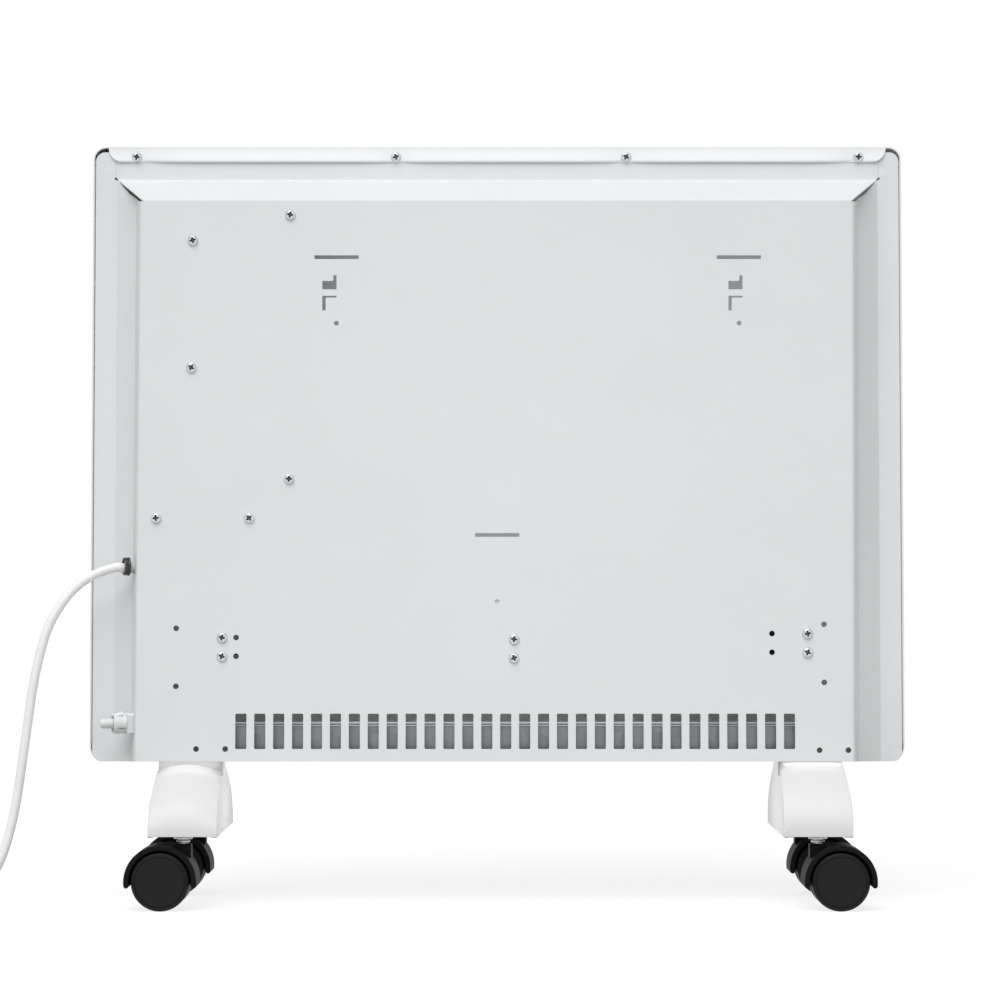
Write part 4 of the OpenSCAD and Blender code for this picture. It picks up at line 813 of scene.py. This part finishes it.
def build_strip():
    """Top strip folded over the housing, pinched at its screws."""
    skin = Skin()
    columns = sorted({STRIP_END * k / 60 for k in range(-60, 61)} | set(TOP_SCREWS))
    rows = [[(x, FLANGE_Y + out, TOP_Z) for x in columns] for out in (-1.2, 0.3)]
    for share in (0.012, 0.03, 0.06, 0.1, 0.15, 0.22, 0.34, 0.46, 0.58, 0.68, 0.77, 0.83, 0.87,
                  0.91, 0.94, 0.965, 0.985, 1.0):
        z = TOP_Z - STRIP_H * share
        y = FLANGE_Y + strip_roll(STRIP_H * share)
        rows.append([(x * strip_reach(z) / STRIP_END, y + strip_bow(x) * share ** 1.3, z)
                     for x in columns])
    skin.grid(rows)
    skin.make("panel_strip", "panel", thick=STRIP_SHEET, angle=50.0)


# ---- screws

def screw_head(skin, recess, place, spin):
    """Pan head with a cross recess. place maps (x, y, out) into the part."""
    def dome(r):
        t = r / HEAD_R
        return HEAD_H - 1.45 * t ** 4 - 0.25 * t ** 2

    def cap(a, b, h):
        return place(a, b, h + 0.12 * (1 - (a * a + b * b) / 4.6))

    level = dome(CAP_R)
    rim = [(r, dome(r)) for r in (CAP_R, 2.7, 2.9, 3.1, 3.3, 3.52, 3.65)]
    skin.lathe(rim + [(HEAD_R, 0.75), (HEAD_R, 0.0), (SHANK_R, 0.0)], place, 40)
    wide, long_arm = 0.52, 2.2
    cross = []
    for k in range(4):
        a = spin + math.pi / 2 * k
        for u, v in ((long_arm, -wide), (long_arm, wide), (wide * 1.5, wide * 1.5)):
            cross.append((u * math.cos(a) - v * math.sin(a), u * math.sin(a) + v * math.cos(a)))
    skin.flat(circle(0.0, 0.0, CAP_R, 40), cap, level, [cross])
    # Walls and floor of the cross recess go to the skin with the darker recess material: painted
    # shade.
    floor = [place(a * 0.45, b * 0.45, level - 1.35) for a, b in cross]
    recess.grid([[cap(a, b, level) for a, b in cross], floor], close=True)
    recess.add(floor, [tuple(range(len(floor)))])


def screw_set(name, node, places):
    """Screws of one node; places holds (mapping, shank length)."""
    heads = Skin()
    recess = Skin()
    for i, (place, deep) in enumerate(places):
        screw_head(heads, recess, place, SPINS[i % len(SPINS)])
        heads.lathe([(SHANK_R, 0.0), (SHANK_R, 1.0 - deep), (1.0, -deep), (0.01, -deep)], place, 16)
    heads.make("%s_heads" % name, "screw", [node], angle=35.0)
    # The recesses take the darker material: painted shade.
    recess.make("%s_recesses" % name, "recess", angle=20.0)


def build_screws():
    screw_set("case_screw", "case_screws",
              [(facing(x, PLATE_Y, z), 9.0) for x, z in CASE_SCREWS]
              + [(facing(x, PLATE_Y, z), 6.0) for x, z in pairs(BRACKETS)])
    screw_set("strip_screw", "top_screws",
              [(facing(x, FLANGE_Y + 1.0, SCREW_Z), 6.0) for x in TOP_SCREWS])
    screw_set("foot_screw", "foot_screws",
              [(lambda a, b, h, x=x, y=y: (x + a, y - b, DECK_LOW - h), 10.0)
               for x in FEET.values() for y in (-FOOT_SCREW_Y, FOOT_SCREW_Y)])


# ---- feet

def bend_in(z, start, slope):
    """How far a side leans in above a height, with a soft start."""
    t = max(0.0, z - start)
    return slope * (t * t / 16.0 if t < 8.0 else t - 4.0)


def outer_side(y, z):
    return 23.2 - bend_in(z, 68.0, 0.115)


def inner_side(y, z):
    turn = 1.0 - 0.6 * max(-1.0, min(1.0, y / 45.0))
    return 24.0 - bend_in(z, 66.0, 0.045) * turn


def foot_top(x, y, crown):
    """Height of the shell: an arch from front to back, highest along its middle."""
    rise, drop = crown
    arch = (FOOT_H + ARCH_OVER + rise) * math.sqrt(max(0.0, 1 - (y / FOOT_L) ** 2))
    return min(FOOT_LIMIT, FOOT_LOW + arch - drop * (x / FOOT_W) ** 2 * min(1.0, arch / 20.0))


def foot_side(y, side, crown):
    """One side from its lower edge over the rounded upper one, and where that edge ends."""
    rim = foot_top(side(y, 90.0), y, crown)
    rim = foot_top(side(y, rim), y, crown)
    turn = max(0.0, min(FOOT_EDGE, (rim - FOOT_LOW) * 0.6))
    out = [(side(y, z), z) for z in spaced(FOOT_LOW, rim - turn, 6)]
    flat = out[-1][0] - turn
    lift = foot_top(flat, y, crown) - rim
    for k in range(1, 5):
        a = math.radians(22.5 * k)
        out.append((flat + turn * math.cos(a), rim - turn + turn * math.sin(a) + lift * k / 4))
    return out, flat


def foot_section(y, crown, across=14):
    """Outline of the shell at a place along it, from its outer to its inner lower edge."""
    outer, out_x = foot_side(y, outer_side, crown)
    inner, in_x = foot_side(y, inner_side, crown)
    top = [(x, foot_top(x, y, crown)) for x in spaced(out_x, -in_x, across)[1:-1]]
    return outer + top + [(-x, z) for x, z in reversed(inner)]


def build_foot(name, cx):
    shell = Skin()
    outward = 1 if cx > 0 else -1
    rows = []
    for a in spaced(0.0, math.pi, 72):
        y = FOOT_L * math.cos(a) * 0.9999
        rows.append([(cx + outward * x, y, z) for x, z in foot_section(y, CROWNS[name])])
    shell.grid(rows)
    shell.make("foot_%s_shell_skin" % name, "foot", ["foot_%s_shell" % name],
               thick=FOOT_WALL, angle=40.0)
    ribs = Skin()
    for k in (-1, 1):
        y = k * CASTOR_Y
        ribs.lathe([(4.05, 70.0), (4.05, 50.0), (7.7, 50.0), (8.0, 50.4), (8.0, 64.0), (5.0, 71.0)],
                   upright(cx, y), 36)
        ribs.lathe([(0.01, 70.0), (4.05, 70.0)], upright(cx, y), 36)
        for a, b in ((8.0, 20.9), (-20.9, -8.0)):
            ribs.box((cx + a, y - 1.25, 51.0), (cx + b, y + 1.25, 72.0))
        ribs.box((cx - 1.25, k * 50.5 - 1.9, 51.5), (cx + 1.25, k * 50.5 + 1.9, 78.0))

    def plan(*corners):
        return [(cx + outward * x, y) for x, y in corners]

    deck = plan((-24.2, 26.0), (20.4, 26.0), (19.6, -26.0), (-22.3, -26.0))
    holes = [circle(cx, k * FOOT_SCREW_Y, SCREW_HOLE) for k in (-1, 1)]
    place = upright(0, 0)
    ribs.flat(deck, place, DECK_TOP, holes)
    ribs.flat(deck, place, DECK_LOW, holes, flip=True)
    ribs.wall(deck, DECK_TOP, DECK_EDGE, place)
    for hole in holes:
        ribs.wall(hole, DECK_TOP, DECK_LOW, place)
    inner = plan((-21.7, 23.5), (17.9, 23.5), (17.1, -23.5), (-19.8, -23.5))
    ribs.wall(inner, DECK_LOW, DECK_EDGE, place)
    ribs.make("foot_%s_ribs" % name, "foot", angle=35.0)


# ---- castors

def hood_profile():
    """Outline of the hood's ring seen along its axle, with round ends."""
    high = 180.0 - LOW_ANGLE
    mean = (HOOD_OUT + HOOD_IN) / 2
    half = (HOOD_OUT - HOOD_IN) / 2

    def end(angle, start):
        out = []
        for a in spaced(math.radians(start), math.radians(start + 180.0), 8)[1:-1]:
            r = mean + half * math.cos(a)
            turn = math.radians(angle) + half * math.sin(a) / mean
            out.append((r * math.cos(turn), r * math.sin(turn)))
        return out

    return (arc(0, 0, HOOD_OUT, LOW_ANGLE, high, 44) + end(high, 0.0)
            + arc(0, 0, HOOD_IN, high, LOW_ANGLE, 44) + end(LOW_ANGLE, 180.0))


def inset(outline, d):
    """A closed outline moved inwards."""
    out = []
    for i, (x, y) in enumerate(outline):
        a, b = Vector(outline[i - 1]), Vector(outline[(i + 1) % len(outline)])
        t = (b - a).normalized()
        out.append((x - t.y * d, y + t.x * d))
    return out


def build_hood(name, x, y, side):
    """Twin-wheel hood: ring with rounded rims, web, axle boss and stem column."""
    skin = Skin()
    cx = x + side * TRAIL
    outline = hood_profile()

    def at(p, q, v):
        return (cx + side * p, y + v, WHEEL_R + q)

    rims = ((-HOOD_HALF, 0.6), (-HOOD_HALF + 0.2, 0.2), (-HOOD_HALF + 0.6, 0.0),
            (HOOD_HALF - 0.6, 0.0), (HOOD_HALF - 0.2, 0.2), (HOOD_HALF, 0.6))
    skin.loft([(inset(outline, d), v) for v, d in rims], at)
    for v in (-HOOD_HALF, HOOD_HALF):
        skin.flat(inset(outline, 0.6), at, v)
    web = arc(0, 0, HOOD_IN + 0.6, LOW_ANGLE, 180 - LOW_ANGLE, 36)
    web += [(-5.2, -4.4), (-4.0, -5.0), (4.0, -5.0), (5.2, -4.4)]
    boss = circle(0, 0, 4.6, 28)
    for way in (1, -1):
        skin.flat(web, at, way * WEB_HALF, [circle(0, 0, 2.55)], flip=way < 0)
        skin.wall(boss, way * WEB_HALF, way * BOSS_HALF, at)
        skin.flat(boss, at, way * BOSS_HALF, [circle(0, 0, 2.6)])
    skin.wall(web, WEB_HALF, -WEB_HALF, at)
    column = upright(x, y)
    wide, narrow = [round_rect(0, 0, w, w, 1.4) for w in (12.0, 11.0)]
    bore = circle(0, 0, STEM_BORE, 24)
    skin.loft([(wide, 40.0), (wide, 44.2), (narrow, STEM_TOP)], column)
    skin.flat(narrow, column, STEM_TOP, [bore])
    skin.wall(bore, STEM_TOP, 41.0, column)
    skin.box((x - 6.0, y - 6.0, 36.0), (x + 6.0, y + 6.0, 40.1))
    skin.make("hood_%s" % name, "hood", ["castor_%s_hood" % name],
              "castor_%s_swivel" % name, angle=38.0)


def build_wheel(name, cx, y, way, node):
    """Wheel with a rounded tread, a stepped outer disc and a hub recess inside."""
    skin = Skin()
    place = facing(cx, y, WHEEL_R, way)
    near = [(r, WHEEL_IN + d) for r, d in (
        (2.62, 12.0), (2.62, 0.0), (6.0, 0.0), (6.4, 0.8), (14.6, 0.8), (15.0, 0.1), (17.2, 0.1),
        (18.6, 0.5), (19.5, 1.3), (20.0, 2.6))]
    far = [(r, WHEEL_OUT - d) for r, d in (
        (20.0, 3.0), (19.75, 1.9), (19.3, 1.25), (18.9, 1.05), (18.75, 1.0), (18.6, 0.5),
        (18.35, 0.2), (17.5, 0.12), (17.3, 0.5), (17.1, 0.5), (16.9, 0.12), (16.4, 0.05),
        (12.0, 0.25), (6.0, 0.4), (0.01, 0.45))]
    skin.lathe(near + far, place, 96)
    skin.lathe([(0.01, near[0][1]), near[0]], place, 96)
    skin.make("wheel_%s" % name, "tread", [node], node, angle=30.0)


def build_stem(name, x, y):
    skin = Skin()
    skin.lathe([(0.01, 36.9), (3.2, 36.9), (3.5, 37.3), (3.5, 45.9), (4.6, 46.1), (4.75, 46.5),
                (4.75, 47.2), (4.5, 47.5), (3.6, 47.7), (3.6, 48.1), (6.1, 48.3), (6.5, 48.6),
                (6.5, 49.7), (6.2, 49.98), (4.0, 49.98), (4.0, 68.2), (3.2, 69.0),
                (0.01, 69.0)], upright(x, y), 40)
    skin.make("stem_%s" % name, "stem", ["castor_%s_stem" % name], angle=35.0)


def build_castors():
    for foot, side in (("right", 1), ("left", -1)):
        for end, way_y in (("rear", 1), ("front", -1)):
            name = "%s_%s" % (foot, end)
            x, y = FEET[foot], way_y * CASTOR_Y
            build_hood(name, x, y, side)
            build_stem(name, x, y)
            reuse("castor_%s_axle" % name, "stem")
            for way, letter in ((1, "a"), (-1, "b")):
                build_wheel("%s_%s" % (name, letter), x + side * TRAIL, y, way,
                            "castor_%s_wheel_%s" % (name, letter))


# ---- side fittings

def raised(centre, up):
    return (centre[0], centre[1], centre[2] + up)


def build_gland():
    """Black bush, and the painted neck between it and the wall; the neck's paint is darker than the
    housing's, as painted shade.
    """
    collar = Skin()
    collar.lathe([(4.6, -0.1), (4.2, 0.3), (4.0, 0.8), (4.0, 4.9), (3.8, 4.9)],
                 wall_frame(raised(GLAND, 0.2)), 56)
    # The neck takes the darkened paint: painted shade.
    collar.make("bush_collar", "neck", angle=40.0)
    skin = Skin()
    skin.lathe([(4.25, 4.0), (4.3, 5.1), (4.7, 6.1), (5.3, 7.3), (5.55, 8.1), (5.8, 8.3),
                (6.15, 8.15), (6.3, 7.8), (6.3, 6.1), (6.15, 5.85), (6.15, 5.55), (6.45, 5.4),
                (6.55, 5.1), (6.55, 4.4), (6.35, 4.1), (4.25, 4.0)],
               wall_frame(raised(GLAND, 1.0)), 56)
    skin.lathe([(3.35, -0.3), (5.2, -0.3), (5.2, -1.3), (5.8, -1.8), (5.5, -6.4), (5.0, -7.0),
                (3.35, -7.0), (3.35, -0.3)], wall_frame(GLAND), 40)
    skin.make("lead_bush", "gland", ["cable_gland"])


def sensor_collar(skin, place):
    """Round collar with slots low on its side."""
    n = COLLAR_SIDES
    outer = []
    inner = []
    for h in COLLAR_HEIGHTS:
        flare = 0.3 if h < 7.0 else 0.0
        rim = 0.3 if h > 14.8 else 0.0
        outer.append(ring(place, COLLAR_R + flare - rim, h, full_turn(n)))
        inner.append(ring(place, COLLAR_BORE + rim, h, full_turn(n)))
    for rows, way in ((outer, 1), (inner, -1)):
        for r in range(len(rows) - 1):
            for i in range(n):
                if i in COLLAR_SLOTS and 1 <= r <= 3:
                    continue
                quad = [rows[r][i], rows[r][(i + 1) % n], rows[r + 1][(i + 1) % n], rows[r + 1][i]]
                skin.add(quad[::way], [(0, 1, 2, 3)])
    for i in COLLAR_SLOTS:
        for k in (0, 1):
            if i + 2 * k - 1 not in COLLAR_SLOTS:
                skin.grid([[rows[r][(i + k) % n] for r in range(1, 5)] for rows in (outer, inner)])
        for r in (1, 4):
            skin.grid([[rows[r][i], rows[r][(i + 1) % n]] for rows in (outer, inner)])
    skin.grid([outer[-1], inner[-1]], close=True)


def sensor_tongue(skin, place):
    """Snap tongue on the collar: it rises from the mouth to a free end."""
    turns = [math.radians(a) for a in spaced(52.0, 108.0, 8)]
    outer = []
    inner = []
    for k in range(7):
        r = COLLAR_R + 0.05 + 1.5 * (k / 6) ** 1.15
        outer.append(ring(place, r, 14.4 - k, turns))
        inner.append(ring(place, r - 0.9, 14.4 - k, turns))
    skin.grid(outer)
    skin.grid([row[::-1] for row in inner])
    for end in (0, -1):
        skin.grid([outer[end], inner[end]])
        skin.grid([[row[end] for row in outer], [row[end] for row in inner]])


def build_sensor():
    """Snap-in holder with a split collar and a tongue, and the probe in it."""
    place = wall_frame(SENSOR)
    skin = Skin()
    square = round_rect(0.0, 0.0, 14.0, 14.0, 1.2)
    small = round_rect(0.0, 0.0, 13.0, 13.0, 0.9)
    bore = circle(0, 0, COLLAR_BORE, 32)
    skin.loft([(square, 0.05), (square, 5.2), (small, 6.0)], place)
    skin.flat(small, place, 6.0, [bore])
    skin.flat(square, place, 0.05, [bore], flip=True)
    sensor_collar(skin, place)
    skin.lathe([(COLLAR_BORE, 6.4), (3.55, 6.4), (3.55, -6.9)], place, 40)
    skin.lathe([(6.1, 0.0), (6.1, -1.2), (6.5, -1.6), (6.0, -3.4), (3.6, -3.5)], place, 40)
    skin.make("sensor_holder_body", "fitting", ["sensor_holder"], angle=34.0)
    tongue = Skin()
    sensor_tongue(tongue, place)
    tongue.make("sensor_holder_tongue", "fitting", angle=34.0)
    probe = Skin()
    probe.lathe([(0.01, -7.0), (3.4, -7.0), (3.4, 21.3), (3.32, 22.1), (3.0, 23.0),
                 (2.6, 23.5), (2.0, 23.7), (0.01, 23.7)], place, 40)
    probe.make("sensor_finger", "fitting", ["sensor_probe"], angle=40.0)


# ---- lead

def spline(points, steps):
    out = []
    last = len(points) - 1
    for i in range(last):
        a, b = points[max(0, i - 1)], points[i]
        c, d = points[i + 1], points[min(last, i + 2)]
        for k in range(steps):
            t = k / steps
            out.append(0.5 * (2 * b + (c - a) * t + (2 * a - 5 * b + 4 * c - d) * t * t
                              + (3 * b - a - 3 * c + d) * t * t * t))
    out.append(points[-1])
    return out


def ease(t):
    u = min(1.0, max(0.0, t))
    return u * u * (3 - 2 * u)


def coil_points(centre):
    """Turns of the coil: inwards on the floor, then outwards again on top of them."""
    out = []
    count = int(COIL_TURNS * COIL_STEPS)
    mid = COIL_TURNS / 2
    for i in range(1, count + 1):
        t = COIL_TURNS * i / count
        r = COIL_R - COIL_PITCH * (mid - abs(t - mid))
        a = math.radians(90 - 360 * t)
        out.append(Vector((centre[0] + r * math.cos(a), centre[1] + r * math.sin(a),
                           LIE_Z + COIL_PITCH * ease(2 * (t - COIL_CLIMB)))))
    return out


def cord_path():
    """The lead's middle line from inside the casing to the plug, and the coil's centre."""
    out_of_wall = wall_frame(GLAND)
    lead = [Vector((GLAND[0] + a, GLAND[1] + b, LIE_Z + h * (GLAND[2] - LIE_Z)))
            for a, b, h in LEAD_TABLE]
    start = [Vector(out_of_wall(0.0, 0.0, h)) for h in (-6.0, 1.0, 8.5, 14.9)]
    centre = (lead[-1].x, lead[-1].y - COIL_R)
    path = start[:2] + spline(start[2:] + lead, 5) + coil_points(centre)
    top = LIE_Z + COIL_PITCH
    path += [Vector((centre[0] + COIL_R, centre[1] - TAIL_STEP * i,
                     top + (PLUG_Z - LIE_Z - COIL_PITCH) * ease(0.13 * i))) for i in range(1, 11)]
    return path, centre


def sweep(skin, path, radius, n=20):
    """Round tube along a path, closed at both ends."""
    rows = []
    for i, p in enumerate(path):
        d = (path[min(len(path) - 1, i + 1)] - path[max(0, i - 1)]).normalized()
        u = Vector((0, 0, 1)).cross(d).normalized()
        v = d.cross(u)
        rows.append(ring(lambda a, b, centre: centre + a * u + b * v, radius, p, full_turn(n)))
    skin.grid(rows, close=True)
    for row in (rows[0], rows[-1]):
        skin.add(row, [tuple(range(n))])


def build_plug(x, y0):
    """Round moulded plug with a ribbed bend relief, and its two pins."""
    skin = Skin()
    place = facing(x, y0, PLUG_Z, -1)
    relief = [(3.25, 0.0), (4.2, 0.05), (4.3, 0.6)]
    for k in range(6):
        r = 4.35 + 0.32 * k
        h = 1.4 + 3.6 * k
        relief += [(r, h), (r + 0.25, h + 0.3), (r + 0.25, h + 1.9), (r, h + 2.2),
                   (r - 0.55, h + 2.4), (r - 0.55, h + 3.2)]
    head = [(6.4, 24.0), (8.0, 26.5), (10.5, 30.0), (12.8, 34.0), (14.6, 36.6), (17.2, 38.4),
            (18.1, 39.4), (18.5, 41.0), (18.5, 51.5), (18.2, 53.2), (17.6, 53.8),
            (PLUG_R, PLUG_L)]
    skin.lathe(relief + head, place, 72)
    skin.flat(circle(0, 0, PLUG_R, 72), place, PLUG_L)
    skin.make("plug_moulding", "cord", ["plug_body"], angle=35.0)
    pins = Skin()
    for s in (-PIN_X, PIN_X):
        spot = facing(x + s, y0, PLUG_Z, -1)
        pins.lathe([(PIN_R, PLUG_L - 0.1), (PIN_R, 70.6), (2.2, 72.0), (1.6, 72.8), (0.01, 73.0)],
                   spot, 28)
        pins.lathe([(2.9, PLUG_L - 0.1), (2.9, PLUG_L), (PIN_R, PLUG_L)], spot, 28)
    pins.make("plug_pin_pair", "pin", ["plug_pins"], angle=35.0)


def build_tie(centre):
    """Flat strap round the bundle."""
    skin = Skin()
    slack = CORD_R + 0.25
    x0 = centre[0] - COIL_R - slack
    x1 = centre[0] - (COIL_R - COIL_PITCH * COIL_TURNS / 2) + slack
    z0 = LIE_Z - CORD_R
    z1 = LIE_Z + COIL_PITCH + slack
    loop = []
    for cx, cz, a0 in ((x0 + 3, z0 + 3, 180), (x1 - 3, z0 + 3, 270), (x1 - 3, z1 - 3, 0),
                       (x0 + 3, z1 - 3, 90)):
        loop += arc(cx, cz, 3.0, a0, a0 + 90, 6)
    rows = [[(x, centre[1] + v, z) for x, z in inset(loop, -grow)]
            for v, grow in ((-5.0, 0.15), (-4.7, 0.55), (4.7, 0.55), (5.0, 0.15))]
    inner = [[(x, centre[1] + v, z) for x, z in loop] for v in (5.0, -5.0)]
    skin.grid(rows + inner + [rows[0]], close=True)
    skin.make("coil_strap", "tie", ["coil_tie"], angle=40.0)


def build_lead():
    path, centre = cord_path()
    skin = Skin()
    sweep(skin, path, CORD_R)
    obj = skin.make("supply_lead", "cord", ["cord_lead", "cord_coil"], angle=60.0)
    build_plug(centre[0] + COIL_R, centre[1] - 10 * TAIL_STEP)
    build_tie(centre)


# ---- stage

def build_camera():
    data = bpy.data.cameras.new("photo_camera")
    data.sensor_width = 36.0
    data.lens = CAM_LENS
    data.shift_x, data.shift_y = CAM_SHIFT
    data.clip_end = 100.0
    cam = new_object("photo_camera", data)
    cam.location = (0.0, CAM_Y * MM, CAM_Z * MM)
    cam.rotation_euler = (math.pi / 2 + CAM_TILT, 0.0, math.pi)
    bpy.context.scene.camera = cam


def fill_light(name, place, aim, size, power, spread=180.0, in_gloss=False):
    """Area light that the camera doesn't see."""
    data = bpy.data.lights.new(name, "AREA")
    data.shape = "RECTANGLE"
    data.size, data.size_y = size
    data.energy = power
    data.spread = math.radians(spread)
    light = new_object(name, data)
    light.location = place
    direction = Vector(aim) - Vector(place)
    light.rotation_euler = direction.to_track_quat("-Z", "Y").to_euler()
    light.visible_camera = False
    light.visible_glossy = in_gloss


def sun_light(name, towards, angle):
    """Soft directional light; the vector's length is the light it gives a face square to it."""
    data = bpy.data.lights.new(name, "SUN")
    data.energy = math.pi * Vector(towards).length
    data.angle = math.radians(angle)
    light = new_object(name, data)
    light.rotation_euler = Vector(towards).to_track_quat("Z", "Y").to_euler()


def seen_apart(tree, plain, seen):
    """One shader for the camera's, glossy and transmission rays, the plain one for the rest."""
    rays = tree.put("ShaderNodeLightPath", {})
    share = rays["Is Camera Ray"]
    for name in ("Is Glossy Ray", "Is Transmission Ray"):
        share = tree.put("ShaderNodeMath", {0: share, 1: rays[name]}, operation="MAXIMUM")[0]
    return tree.put("ShaderNodeMixShader", {0: share, 1: plain, 2: seen})[0]


def grey_level(value):
    return (value, value, value, 1.0)


def empty_tree(owner):
    owner.use_nodes = True
    owner.node_tree.nodes.clear()
    return Tree(owner.node_tree)


def build_world():
    world = bpy.data.worlds.new("studio")
    bpy.context.scene.world = world
    tree = empty_tree(world)
    light, white = [tree.put("ShaderNodeBackground", {"Color": grey_level(1.0), "Strength": s})[0]
                    for s in (WORLD_LIGHT, 1.0)]
    tree.put("ShaderNodeOutputWorld", {"Surface": seen_apart(tree, light, white)})


def build_floor():
    """Floor that looks white and keeps the object's shadow."""
    mesh = bpy.data.meshes.new("studio_floor")
    corners = [(x * FLOOR_HALF, y * FLOOR_HALF, 0.0)
               for x, y in ((-1, -1), (1, -1), (1, 1), (-1, 1))]
    mesh.from_pydata(corners, [], [(0, 1, 2, 3)])
    material = bpy.data.materials.new("floor_white")
    tree = empty_tree(material)
    plain, shadow = [tree.put("ShaderNodeBsdfDiffuse", {"Color": grey_level(tone)})[0]
                     for tone in (FLOOR_TONE, FLOOR_SHADOW)]
    glow = tree.put("ShaderNodeEmission", {"Strength": FLOOR_GLOW})[0]
    seen = tree.put("ShaderNodeAddShader", {0: shadow, 1: glow})[0]
    tree.put("ShaderNodeOutputMaterial", {"Surface": seen_apart(tree, plain, seen)})
    mesh.materials.append(material)
    floor = new_object("studio_floor", mesh)


def build_lights():
    sun_light("key_light", (0.12, 0.44, 0.62), 50.0)
    fill_light("casing_fill", (-0.02, 0.034, 0.30), (-0.02, -1.0, 0.30), (0.48, 0.36), 0.17)
    fill_light("middle_fill", (0.0, 0.54, 0.36), (0.0, 0.0, 0.36), (0.25, 0.2), 0.26)
    fill_light("intake_fill", (0.0, 0.0375, 0.136), (0.0, 0.030, 0.122), (0.26, 0.003), 0.006,
               in_gloss=True)
    for foot in FEET.values():
        x = foot * MM
        fill_light("foot_fill", (x, 0.0325, 0.0996), (x, 0.0325, 0.0), (0.044, 0.011), 0.0026)
        side = math.copysign(0.095, x)
        fill_light("side_fill", (side, 0.0, 0.07), (2 * side, 0.0, 0.07), (0.12, 0.035), 0.03,
                   100.0)


# ---- the scene

# Materials and edge rounding of the CAD nodes that are shown as they are
REUSED = {
    ("grille", 0.25): ["outlet_grille"],
    ("fin", 0.2): ["heating_element"],
    ("steel", 0.0): ["element_bracket_1", "element_bracket_2", "element_bracket_3"],
    ("ceramic", 0.2): ["insulator_1", "insulator_2", "insulator_3"],
    ("box", 0.2): ["thermal_cutout"],
    ("box", 0.3): ["control_box"],
    ("board", 0.15): ["power_board", "display_board"],
    ("white", 0.3): ["control_fascia"],
    ("window", 0.15): ["display_window"],
    ("key", 0.3): ["key_1", "key_2", "key_3", "key_4"],
    ("ceramic", 0.3): ["terminal_block"],
    ("black", 0.3): ["tip_switch"],
    ("wire", 0.0): ["internal_wiring"],
}


def main():
    bpy.context.scene.view_settings.view_transform = "Standard"
    build_camera()
    build_lead()
    build_world()
    build_floor()
    build_lights()
    build_housing()
    build_tray()
    build_hem()
    build_strip()
    build_bottom()
    build_baffle()
    build_screws()
    for name, x in FEET.items():
        build_foot(name, x)
    build_castors()
    build_gland()
    build_sensor()
    for look, nodes in REUSED.items():
        for node in nodes:
            reuse(node, *look)


main()
